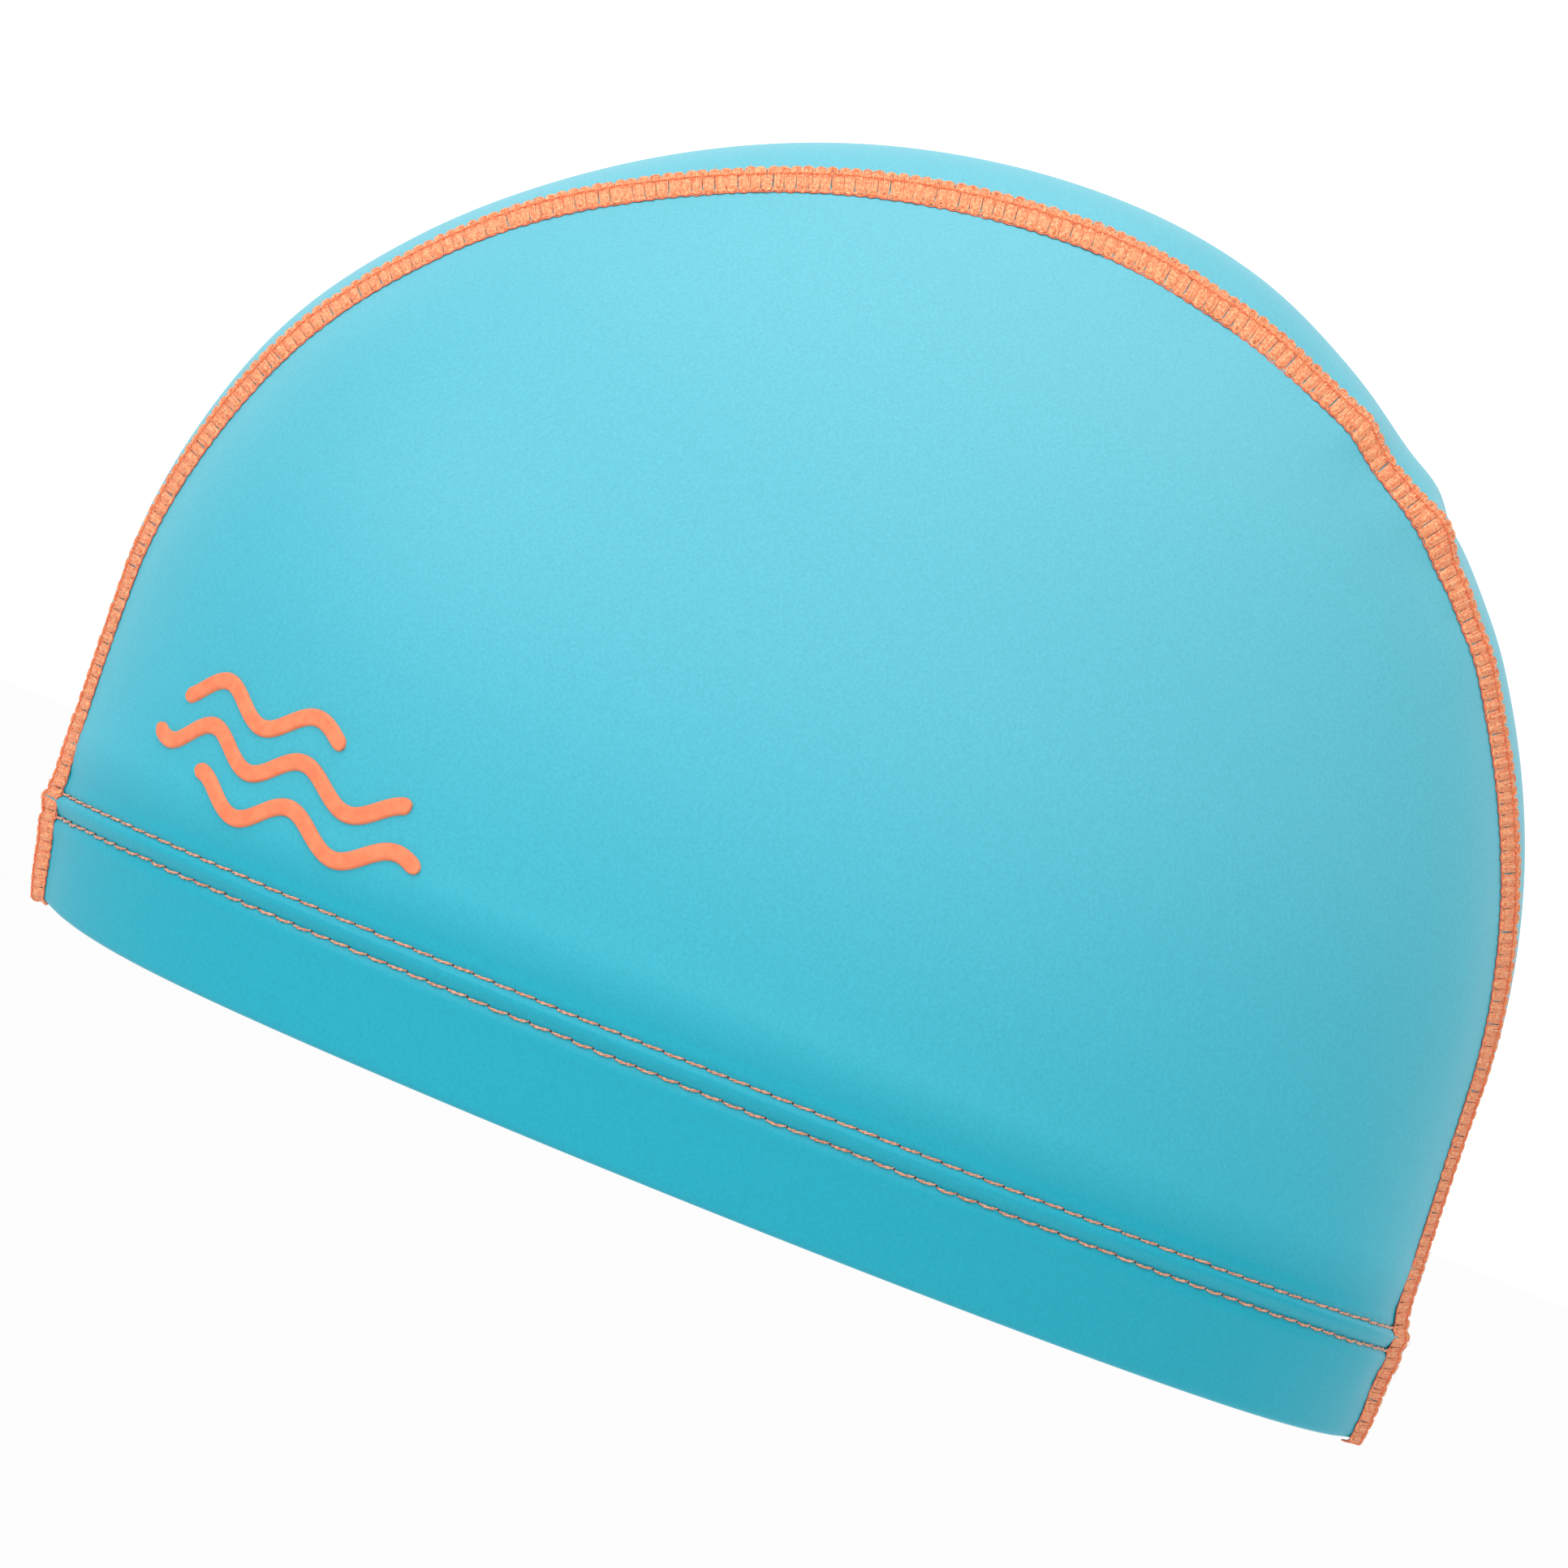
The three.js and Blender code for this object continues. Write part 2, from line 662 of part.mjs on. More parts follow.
const stations = makeStations();
const grid = panelGrid(stations);
const cloth = coatedCloth();
const thread = seamThread();
const print = emblemPrint();
addPiece("side_panel_left", sidePanel(grid, 1), cloth);
addPiece("side_panel_right", sidePanel(grid, -1), cloth);
addPiece("crown_strip", crownStrip(stations), cloth);
addPiece("seam_left", flatlockSeam(stations, 1), thread);
addPiece("seam_right", flatlockSeam(stations, -1), thread);
for (const row of STROKE_ROWS) {
  addPiece(row.name, waveStroke(row), print);
}

export default cap;
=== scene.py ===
"""A swim cap of coated stretch fabric, dressed over its solid model, in metres.

+Z is up, the forehead faces -Y and the wearer's left is +X."""
import math

import bpy
import numpy as np
from mathutils import Matrix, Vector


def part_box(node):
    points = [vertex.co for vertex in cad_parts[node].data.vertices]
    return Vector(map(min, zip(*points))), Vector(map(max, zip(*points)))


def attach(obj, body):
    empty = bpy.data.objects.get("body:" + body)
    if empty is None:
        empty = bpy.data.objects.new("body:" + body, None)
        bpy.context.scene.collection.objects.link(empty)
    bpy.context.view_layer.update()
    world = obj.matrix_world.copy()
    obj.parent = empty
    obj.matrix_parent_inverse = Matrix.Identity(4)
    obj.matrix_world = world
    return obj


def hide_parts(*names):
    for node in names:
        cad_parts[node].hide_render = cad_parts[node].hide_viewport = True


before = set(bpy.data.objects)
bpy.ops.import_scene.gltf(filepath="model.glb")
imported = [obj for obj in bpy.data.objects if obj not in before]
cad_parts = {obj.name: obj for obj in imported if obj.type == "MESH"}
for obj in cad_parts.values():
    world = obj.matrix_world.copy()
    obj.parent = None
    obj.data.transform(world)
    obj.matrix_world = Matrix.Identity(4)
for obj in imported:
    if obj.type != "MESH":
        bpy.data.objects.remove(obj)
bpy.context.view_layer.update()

MM = 0.001
UP = np.array([0.0, 0.0, 1.0])

# Sizes of the whole cap, from the frame
strip_low, strip_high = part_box("crown_strip")
_, panel_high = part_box("side_panel_left")
HALF_LENGTH = (strip_high.y - strip_low.y) / 2
HALF_WIDTH = panel_high.x
CAP_HEIGHT = strip_high.z

# The form that the solids follow
BELT_HEIGHT = 50 * MM
WIDEST_HEIGHT = 20 * MM
CROWN_SETBACK = 5.8 * MM
HEM_TUCK = 0.8 * MM
SIDE_FULLNESS = 0.74
STRIP_HALF = 20 * MM
STRIP_RISE = 7.8 * MM

# Cloth
CLOTH = 0.9 * MM
FOLD_RADIUS = CLOTH
HEM_HEIGHT = 19 * MM
HEM_ENDS = {"front": 2.6 * MM, "back": 0.7 * MM}
HEM_END_FADE = 9 * MM
HEM_END_TOP = 12 * MM
CUT_EDGE = 0.5 * MM
EDGE_GAP = 0.1 * MM

# The hem's twin rows of stitches
STITCH = 3 * MM
STITCH_COLUMNS = 4
LOWER_ROW = 14 * MM
UPPER_ROW = 17.1 * MM
STITCH_RADIUS = 0.2 * MM
STITCH_SLANT = 0.2 * MM
LOWER_SAG = 0.16 * MM
UPPER_SAG = 0.05 * MM
HOLE_RADIUS = 0.16 * MM
PUCKER = 0.09 * MM
PUCKER_REACH = 0.8 * MM

# Flatlock seams
SEAM_HALF = 3.3 * MM
SEAM_PITCH = 1.6 * MM
SEAM_BEND = 40 * MM
STRAND_RADIUS = 0.14 * MM
STRAND_SPACING = 0.2 * MM
RIB_RISE = 0.24 * MM
CHAIN_ACROSS = -SEAM_HALF / 3
CHAIN_RADIUS = 0.11 * MM
RIM_RADIUS = 0.13 * MM
FUZZ_COUNT = 2600
FUZZ_LENGTH = 0.9 * MM
FUZZ_RADIUS = 0.022 * MM

# Raised wave strokes low on the left panel
EMBLEM_HEIGHT = 32 * MM
EMBLEM_ANGLE = math.radians(47)
STROKE_WIDTH = 2.3 * MM
STROKE_RISE = 0.5 * MM
STROKE_ROUNDING = 0.35 * MM
STROKE_SUNK = 0.05 * MM
STROKE_TIP = STROKE_WIDTH / 100
WAVE_LENGTH = 17 * MM
WAVE_SWING = 2 * MM
WAVE_SPACING = 6.2 * MM

# The camera looks level at the cap from about 1 m away, and is rolled
CAMERA_DISTANCE = 1.036
CAMERA_HEIGHT = 55 * MM
CAMERA_SHIFT_BACK = -6.4 * MM
CAMERA_ROLL = math.radians(21.86)
FRAME_WIDTH = 218.1 * MM
SENSOR = 36.0

# The crest's profile below the belt, as shares of the belt height and of half the cap's length
SKIRT_ROWS = [
    {"up": 0, "front": 0.945, "back": 0.988},
    {"up": 0.1, "front": 0.955, "back": 0.994},
    {"up": 0.2, "front": 0.964, "back": 1},
    {"up": 0.3, "front": 0.972, "back": 0.998},
    {"up": 0.44, "front": 0.98, "back": 0.986},
    {"up": 0.6, "front": 0.988, "back": 0.98},
    {"up": 0.8, "front": 0.995, "back": 0.974},
    {"up": 1, "front": 1, "back": 0.97},
]

# The crest's profile above the belt: degrees from the forehead over the top, and shares of an ellipse
ARCH_ROWS = [
    {"turn": 0, "reach": 1},
    {"turn": 12, "reach": 1.002},
    {"turn": 24, "reach": 1.005},
    {"turn": 36, "reach": 0.996},
    {"turn": 48, "reach": 0.988},
    {"turn": 60, "reach": 0.988},
    {"turn": 75, "reach": 0.994},
    {"turn": 90, "reach": 1},
    {"turn": 104, "reach": 1.002},
    {"turn": 114, "reach": 0.994},
    {"turn": 128, "reach": 0.987},
    {"turn": 150, "reach": 0.988},
    {"turn": 165, "reach": 0.993},
    {"turn": 180, "reach": 1},
]

# The crown strip's section, by the crest's height: shares of its width and rise
STRIP_ROWS = [
    {"up": 0, "width": 0.7, "rise": 0.22},
    {"up": 0.35, "width": 0.78, "rise": 0.31},
    {"up": 0.6, "width": 0.86, "rise": 0.48},
    {"up": 0.75, "width": 0.9, "rise": 0.58},
    {"up": 0.9, "width": 0.96, "rise": 0.8},
    {"up": 1, "width": 1, "rise": 1},
]

# Folds: their turn along the crest, where -1 to 0 and 180 to 181 are the skirt from the hem to the
# belt, their place in shares of the strip's half width, and their sizes in shares of the strip's
# width and rise; a tip turns the cloth at the seam towards the panel's side
FOLD_ROWS = [
    {"turn": 127.3, "across": 0.5, "along": 0.11, "wide": 0.37, "lift": 0.11, "tip": 0},
    {"turn": 130.8, "across": 0.5, "along": 0.07, "wide": 0.32, "lift": -0.05, "tip": 0},
    {"turn": 118, "across": 0.9, "along": 0.15, "wide": 0.27, "lift": 0.08, "tip": 0},
    {"turn": 142, "across": 0.9, "along": 0.15, "wide": 0.25, "lift": 0.08, "tip": 0},
    {"turn": 102, "across": 1, "along": 0.22, "wide": 0.22, "lift": -0.09, "tip": 0},
    {"turn": 46, "across": 0.95, "along": 0.35, "wide": 0.16, "lift": 0.08, "tip": 0},
    {"turn": 180.81, "across": 1, "along": 0.1, "wide": 0.22, "lift": -0.11, "tip": 0},
    {"turn": 119.7, "across": 0.95, "along": 0.08, "wide": 0.13, "lift": 0.12, "tip": 0},
    {"turn": 130.8, "across": 0.88, "along": 0.1, "wide": 0.12, "lift": 0.34, "tip": 0},
    {"turn": 136.2, "across": 0.95, "along": 0.08, "wide": 0.13, "lift": 0.1, "tip": 0},
    {"turn": 121, "across": 0, "along": 0.25, "wide": 0.4, "lift": -0.04, "tip": 0},
    {"turn": -0.8, "across": 1, "along": 0.4, "wide": 0.13, "lift": 0.08, "tip": -0.11},
    {"turn": -0.68, "across": 0.8, "along": 0.1, "wide": 0.3, "lift": 0.07, "tip": 0},
    {"turn": 180.8, "across": 1, "along": 0.4, "wide": 0.13, "lift": 0.02, "tip": -0.11},
    {"turn": 180.6, "across": 1, "along": 0.18, "wide": 0.2, "lift": -0.06, "tip": 0},
    {"turn": 15, "across": 1, "along": 0.8, "wide": 0.14, "lift": 0, "tip": -0.08},
    {"turn": 165, "across": 1, "along": 0.8, "wide": 0.14, "lift": 0, "tip": -0.08},
]

# How far below and above the surface a fold is felt, in fold widths
FOLD_DEPTH = 3

# The hem's profile in millimetres: height, width and lift of each puff and groove
HEM_FORMS = [
    {"up": 14.0, "wide": 0.55, "lift": -0.45},
    {"up": 15.9, "wide": 0.75, "lift": 0.45},
    {"up": 17.1, "wide": 0.45, "lift": -0.5},
    {"up": 19.2, "wide": 1.5, "lift": -0.26},
    {"up": 24.5, "wide": 3.0, "lift": 0.25},
    {"up": 12.2, "wide": 1.2, "lift": 0.16},
]

STROKE_ROWS = [
    {"name": "emblem_wave_upper", "row": 1, "start": -1.2, "length": 1.75},
    {"name": "emblem_wave_middle", "row": 0, "start": -1.45, "length": 2.7},
    {"name": "emblem_wave_lower", "row": -1, "start": -0.8, "length": 2.25},
]


# Curves and surfaces

def table_value(rows, key, column, at):
    """A column's value between the rows of a table, on a smooth curve through them."""
    keys = np.array([row[key] for row in rows], float)
    values = np.array([row[column] for row in rows], float)
    last = len(keys) - 1
    after = np.minimum(np.arange(last + 1) + 1, last)
    before = np.maximum(np.arange(last + 1) - 1, 0)
    slopes = (values[after] - values[before]) / (keys[after] - keys[before])
    i = np.clip(np.searchsorted(keys, at) - 1, 0, last - 1)
    span = keys[i + 1] - keys[i]
    t = np.clip((at - keys[i]) / span, 0, 1)
    kept = values[i] * (2 * t**3 - 3 * t**2 + 1) + values[i + 1] * (3 * t**2 - 2 * t**3)
    bent = slopes[i] * (t**3 - 2 * t**2 + t) + slopes[i + 1] * (t**3 - t**2)
    return kept + span * bent


def unit(vectors):
    return vectors / np.linalg.norm(vectors, axis=-1, keepdims=True)


def stack(x, y, z):
    return np.stack(np.broadcast_arrays(x, y, z), axis=-1)


def arch_point(turn):
    """The crest above the belt, in the plane x = 0."""
    belt_back = HALF_LENGTH * SKIRT_ROWS[-1]["back"]
    reach = np.where(turn < 90, HALF_LENGTH + CROWN_SETBACK, belt_back - CROWN_SETBACK)
    share = table_value(ARCH_ROWS, "turn", "reach", turn)
    y = CROWN_SETBACK - reach * share * np.cos(np.radians(turn))
    z = BELT_HEIGHT + (CAP_HEIGHT - BELT_HEIGHT) * share * np.sin(np.radians(turn))
    return y, z


def crest_line():
    """Closely spaced sections of the crown strip, from the hem at the forehead to the hem at the nape."""
    climb = np.linspace(0, BELT_HEIGHT, 500, endpoint=False)
    turns = np.linspace(0, 180, 3601)
    step = 0.01
    arch_y, arch_z = arch_point(turns)
    before = np.array(arch_point(np.maximum(turns - step, 0)))
    after = np.array(arch_point(np.minimum(turns + step, 180)))
    along = (after - before) / np.hypot(*(after - before))
    front = -HALF_LENGTH * table_value(SKIRT_ROWS, "up", "front", climb / BELT_HEIGHT)
    back = HALF_LENGTH * table_value(SKIRT_ROWS, "up", "back", climb / BELT_HEIGHT)
    flat = np.ones(len(climb))
    line = {
        "turn": np.concatenate([climb / BELT_HEIGHT - 1, turns, 181 - climb[::-1] / BELT_HEIGHT]),
        "y": np.concatenate([front, arch_y, back[::-1]]),
        "z": np.concatenate([climb, arch_z, climb[::-1]]),
        "out_y": np.concatenate([-flat, -along[1], flat]),
        "out_z": np.concatenate([0 * flat, along[0], 0 * flat]),
    }
    up = line["z"] / CAP_HEIGHT
    line["half"] = STRIP_HALF * table_value(STRIP_ROWS, "up", "width", up)
    line["rise"] = STRIP_RISE * table_value(STRIP_ROWS, "up", "rise", up)
    line["radius"] = (line["half"] ** 2 + line["rise"] ** 2) / (2 * line["rise"])
    line["spread"] = np.arcsin(line["half"] / line["radius"])
    line["seam_y"] = line["y"] - line["out_y"] * line["rise"]
    line["seam_z"] = line["z"] - line["out_z"] * line["rise"]
    seam = stack(line["half"], line["seam_y"], line["seam_z"])
    lengths = np.linalg.norm(np.diff(seam, axis=0), axis=1)
    line["run"] = np.concatenate([[0], np.cumsum(lengths)])
    return line


line = crest_line()
apex = int(np.argmax(line["seam_z"]))
APEX_HEIGHT = line["seam_z"][apex]
APEX_HALF = line["half"][apex]
APEX_RUN = line["run"][apex]
SEAM_LENGTH = line["run"][-1]


def section_at(place, key="run"):
    """The strip's section at a run along the seam, or at another increasing key."""
    return {name: np.interp(place, line[key], line[name]) for name in line}


def run_at_height(height, end):
    if end == "front":
        return np.interp(height, line["seam_z"][: apex + 1], line["run"][: apex + 1])
    return np.interp(height, line["seam_z"][apex:][::-1], line["run"][apex:][::-1])


def half_width_at(z):
    """Half the cap's width at a height: it narrows to the strip's width at the seams' highest point."""
    low = HALF_WIDTH - HEM_TUCK * (1 - z / WIDEST_HEIGHT) ** 2
    left = (APEX_HALF / HALF_WIDTH) ** (1 / SIDE_FULLNESS)
    share = np.clip((z - WIDEST_HEIGHT) / (APEX_HEIGHT - WIDEST_HEIGHT), 0, 1)
    high = HALF_WIDTH * (1 - (1 - left) * share**2) ** SIDE_FULLNESS
    return np.where(z < WIDEST_HEIGHT, low, high)


def panel_section(z):
    """The side panel's section at a height: an elliptic arc from seam to seam."""
    half = half_width_at(z)
    front = section_at(run_at_height(z, "front"))
    back = section_at(run_at_height(z, "back"))
    start = np.arcsin(np.minimum(front["half"] / half, 1))
    stop = math.pi - np.arcsin(np.minimum(back["half"] / half, 1))
    reach = (back["seam_y"] - front["seam_y"]) / np.maximum(np.cos(start) - np.cos(stop), 1e-9)
    middle = front["seam_y"] + reach * np.cos(start)
    return half, reach, middle, start, stop


def panel_point(angle, z):
    half, reach, middle, _, _ = panel_section(z)
    return stack(half * np.sin(angle), middle - reach * np.cos(angle), z)


def panel_frame(angle, z):
    """The panel's point, its two directions of travel and its outward normal."""
    turn_step = 1e-4
    rise_step = np.where(z < MM, 0.02 * MM, -0.02 * MM)
    point = panel_point(angle, z)
    along = (panel_point(angle + turn_step, z) - point) / turn_step
    up = (panel_point(angle, z + rise_step) - point) / rise_step[..., None]
    return point, along, up, unit(np.cross(along, up))


def seam_frame(run):
    """The seam's point, direction, and the normals and level directions of its two sides."""
    step = 0.4 * MM
    at = section_at(run)
    point = stack(at["half"], at["seam_y"], at["seam_z"])
    before = section_at(run - step)
    after = section_at(run + step)
    along = unit(stack(*(after[k] - before[k] for k in ("half", "seam_y", "seam_z"))))
    z = np.minimum(at["seam_z"], APEX_HEIGHT - 0.05 * MM)
    _, _, _, start, stop = panel_section(z)
    angle = np.where(run < APEX_RUN, start, stop)
    panel_normal = panel_frame(angle, z)[3]
    panel_normal = unit(panel_normal - along * (panel_normal * along).sum(-1, keepdims=True))
    spread = at["spread"]
    strip_normal = stack(np.sin(spread), at["out_y"] * np.cos(spread), at["out_z"] * np.cos(spread))
    strip_normal = unit(strip_normal - along * (strip_normal * along).sum(-1, keepdims=True))
    return {
        "point": point,
        "along": along,
        "angle": angle,
        "z": z,
        "panel_normal": panel_normal,
        "strip_normal": strip_normal,
        "to_panel": -np.cross(panel_normal, along),
        "to_strip": np.cross(strip_normal, along),
    }


def beside_seam(run, distance):
    """Angles and heights of the panel's spots at a distance from the seam."""
    seam = seam_frame(run)
    target = seam["point"] + seam["to_panel"] * distance
    angle, z = seam["angle"], seam["z"]
    for _ in range(6):
        point, along, up, _ = panel_frame(angle, z)
        miss = target - point
        aa, ab, bb = (along * along).sum(-1), (along * up).sum(-1), (up * up).sum(-1)
        am, bm = (along * miss).sum(-1), (up * miss).sum(-1)
        area = aa * bb - ab * ab
        angle = angle + (am * bb - bm * ab) / area
        z = np.clip(z + (bm * aa - am * ab) / area, 0, APEX_HEIGHT - 0.01 * MM)
    return np.stack([angle, z], axis=-1)


def make_folds():
    folds = []
    for row in FOLD_ROWS:
        at = section_at(row["turn"], "turn")
        folds.append({
            "x": at["half"] * row["across"],
            "y": at["y"],
            "z": at["z"],
            "out_y": at["out_y"],
            "out_z": at["out_z"],
            "along": row["along"] * 2 * STRIP_HALF,
            "wide": row["wide"] * 2 * STRIP_HALF,
            "lift": row["lift"] * STRIP_RISE,
            "tip": row["tip"] * STRIP_RISE,
        })
    return folds


folds = make_folds()


def fold_lift(points):
    """How far the folds lift the cloth at points of either side."""
    lift = np.zeros(points.shape[:-1])
    for fold in folds:
        dy = points[..., 1] - fold["y"]
        dz = points[..., 2] - fold["z"]
        across = (np.abs(points[..., 0]) - fold["x"]) / fold["wide"]
        along = (dy * fold["out_z"] - dz * fold["out_y"]) / fold["along"]
        deep = (dy * fold["out_y"] + dz * fold["out_z"]) / (FOLD_DEPTH * fold["wide"])
        lift += (fold["lift"] + fold["tip"] * across) * np.exp(-(along**2) - across**2 - deep**2)
    return lift


def hem_lift(z):
    """The puffs and grooves that the stitch rows give the hem."""
    lift = np.zeros(np.shape(z))
    for form in HEM_FORMS:
        lift += form["lift"] * MM * np.exp(-(((z / MM - form["up"]) / form["wide"]) ** 2))
    return lift


def pucker_lift(stitches, z):
    """The dimples at the ends of the stitches, at places counted in stitches along the hem."""
    dimple = 0.5 + 0.5 * np.cos(2 * math.pi * stitches)
    near = sum(np.exp(-(((z - row) / PUCKER_REACH) ** 2)) for row in (LOWER_ROW, UPPER_ROW))
    return -PUCKER * dimple * near


def layer_depths(z):
    """How deep the cloth's outer and inner faces lie below the surface at a height."""
    thick = np.interp(z, [HEM_HEIGHT, HEM_HEIGHT + CUT_EDGE], [2 * CLOTH, CLOTH])
    rounding = FOLD_RADIUS - np.sqrt(FOLD_RADIUS**2 - (FOLD_RADIUS - np.minimum(z, FOLD_RADIUS)) ** 2)
    return rounding, thick - rounding


def pull_up(points, ends=("front", "back")):
    """Pulls the hem's lower edge up a little near the seams, at the forehead and at the nape."""
    y, z = points[..., 1], points[..., 2]
    share = np.clip(1 - z / HEM_END_TOP, 0, 1)
    for end in ends:
        place = section_at(run_at_height(0, end))["seam_y"]
        points[..., 2] += HEM_ENDS[end] * np.exp(-np.abs(y - place) / HEM_END_FADE) * share
    return points


# Grids of points

HEM_TOP = HEM_HEIGHT + MM


def hem_levels():
    turns = np.radians([0, 25, 45, 65, 90])
    fold = FOLD_RADIUS * (1 - np.cos(turns))
    cut = [HEM_HEIGHT - 0.02 * MM, HEM_HEIGHT + CUT_EDGE]
    steps = np.arange(FOLD_RADIUS + 0.6 * MM, HEM_HEIGHT - 0.3 * MM, 0.6 * MM)
    return np.concatenate([fold, steps, cut])


def even_shares(points, count):
    """Shares of the way, in places of the list, that part a line of points evenly."""
    lengths = np.concatenate([[0], np.cumsum(np.linalg.norm(np.diff(points, axis=0), axis=1))])
    wanted = np.linspace(0, lengths[-1], count + 1)
    return np.interp(wanted, lengths, np.linspace(0, 1, len(points)))


def panel_columns():
    """Even places round the panel at the stitch rows, a whole number of stitches long."""
    height = np.full(800, (LOWER_ROW + UPPER_ROW) / 2)
    _, _, _, start, stop = panel_section(height[0])
    points = panel_point(np.linspace(start, stop, len(height)), height)
    length = np.linalg.norm(np.diff(points, axis=0), axis=1).sum()
    stitches = round(length / STITCH)
    return even_shares(points, stitches * STITCH_COLUMNS), stitches


column_shares, PANEL_STITCHES = panel_columns()
RISE_ROWS = 84
SHOULDER_TURN = 25


def panel_spots():
    """Angles and heights of the left panel's grid, from the hem's fold to the arch over the top."""
    levels = hem_levels()
    _, _, _, start, stop = panel_section(levels)
    run = np.linalg.norm(panel_frame(start, levels)[1], axis=-1)
    start = start + EDGE_GAP / run
    stop = stop - EDGE_GAP / run
    angles = start[:, None] + (stop - start)[:, None] * column_shares
    hem = np.stack([angles, np.broadcast_to(levels[:, None], angles.shape)], axis=-1)
    shoulder = [section_at(turn, "turn")["run"] for turn in (SHOULDER_TURN, 180 - SHOULDER_TURN)]
    base = [run_at_height(HEM_TOP, end) for end in ("front", "back")]
    left = beside_seam(np.linspace(base[0], shoulder[0], RISE_ROWS + 1), EDGE_GAP)
    right = beside_seam(np.linspace(base[1], shoulder[1], RISE_ROWS + 1), EDGE_GAP)
    top = beside_seam(np.linspace(*shoulder, len(column_shares)), EDGE_GAP)
    top[0], top[-1] = left[-1], right[-1]
    bottom = left[0] + (right[0] - left[0]) * column_shares[:, None]
    u = np.linspace(0, 1, len(column_shares))[None, :, None]
    v = np.linspace(0, 1, RISE_ROWS + 1)[:, None, None]
    edges = (1 - v) * bottom + v * top + (1 - u) * left[:, None] + u * right[:, None]
    corners = (1 - v) * ((1 - u) * left[0] + u * right[0]) + v * ((1 - u) * top[0] + u * top[-1])
    return np.concatenate([hem, edges - corners])


def panel_layers():
    """The outer and inner points of the left panel's cloth."""
    spots = panel_spots()
    z = spots[..., 1]
    point, _, _, normal = panel_frame(spots[..., 0], z)
    stitches = np.arange(z.shape[1]) / STITCH_COLUMNS
    form = fold_lift(point) + hem_lift(z)
    outer_depth, inner_depth = layer_depths(z)
    outer = point + normal * (form + pucker_lift(stitches, z) - outer_depth)[..., None]
    inner = point + normal * (form - inner_depth)[..., None]
    return pull_up(outer), pull_up(inner)


def strip_point(at, angle):
    """The crown strip's points and normals, at angles from its crest."""
    drop = at["radius"] * (1 - np.cos(angle))
    point = stack(at["radius"] * np.sin(angle), at["y"] - at["out_y"] * drop, at["z"] - at["out_z"] * drop)
    cosine = np.cos(angle)
    return point, stack(np.sin(angle), at["out_y"] * cosine, at["out_z"] * cosine)


STRIP_STITCHES = round(2 * 0.7 * STRIP_HALF / STITCH)
STRIP_STEP = 1.1 * MM


def strip_layers():
    """The outer and inner points of the crown strip's cloth."""
    base = [run_at_height(HEM_TOP, end) for end in ("front", "back")]
    between = np.linspace(*base, round((base[1] - base[0]) / STRIP_STEP))
    levels = hem_levels()
    front = run_at_height(levels, "front")
    back = run_at_height(levels, "back")[::-1]
    at = section_at(np.concatenate([front, between, back])[:, None])
    share = np.linspace(-1, 1, STRIP_STITCHES * STITCH_COLUMNS + 1)
    point, normal = strip_point(at, share * (at["spread"] - EDGE_GAP / at["radius"]))
    z = point[..., 2]
    stitches = np.arange(z.shape[1]) / STITCH_COLUMNS
    form = fold_lift(point) + hem_lift(z)
    outer_depth, inner_depth = layer_depths(z)
    outer = point + normal * (form + pucker_lift(stitches, z) - outer_depth)[..., None]
    inner = point + normal * (form - inner_depth)[..., None]
    return pull_up(outer), pull_up(inner)


# Meshes

def closed_shell(outer, inner, both_ends):
    """Points and faces of a shell between two grids that meet in the fold of the first row, and of
    the last one too if both ends are folds."""
    rows, columns = outer.shape[:2]
    top = np.arange(rows * columns).reshape(rows, columns)
    under = top + rows * columns
    under[0] = top[0]
    if both_ends:
        under[-1] = top[-1]

    def quads(grid):
        corners = [grid[:-1, :-1], grid[:-1, 1:], grid[1:, 1:], grid[1:, :-1]]
        return np.stack(corners, axis=-1).reshape(-1, 4)

    caps = [(top[1:, 0], under[1:, 0], under[:-1, 0], top[:-1, 0])]
    caps.append((top[:-1, -1], under[:-1, -1], under[1:, -1], top[1:, -1]))
    if not both_ends:
        caps.append((top[-1, :-1], top[-1, 1:], under[-1, 1:], under[-1, :-1]))
    faces = [*quads(top).tolist(), *quads(under)[:, ::-1].tolist()]
    for cap in caps:
        faces.extend(list(dict.fromkeys(face)) for face in np.stack(cap, axis=-1).tolist())
    inside = [0] * ((rows - 1) * (columns - 1)) + [1] * (len(faces) - (rows - 1) * (columns - 1))
    return np.concatenate([outer.reshape(-1, 3), inner.reshape(-1, 3)]), faces, inside


def add_mesh(name, points, faces, materials, face_materials=None):
    """A smooth mesh object, without the points that no face uses."""
    used = np.unique(np.fromiter((i for face in faces for i in face), int))
    place = np.zeros(len(points), int)
    place[used] = np.arange(len(used))
    mesh = bpy.data.meshes.new(name)
    mesh.from_pydata(points[used].tolist(), [], [[int(place[i]) for i in face] for face in faces])
    for material in materials:
        mesh.materials.append(material)
    if face_materials is not None:
        mesh.polygons.foreach_set("material_index", face_materials)
    mesh.shade_smooth()
    piece = bpy.data.objects.new(name, mesh)
    bpy.context.scene.collection.objects.link(piece)
    return piece


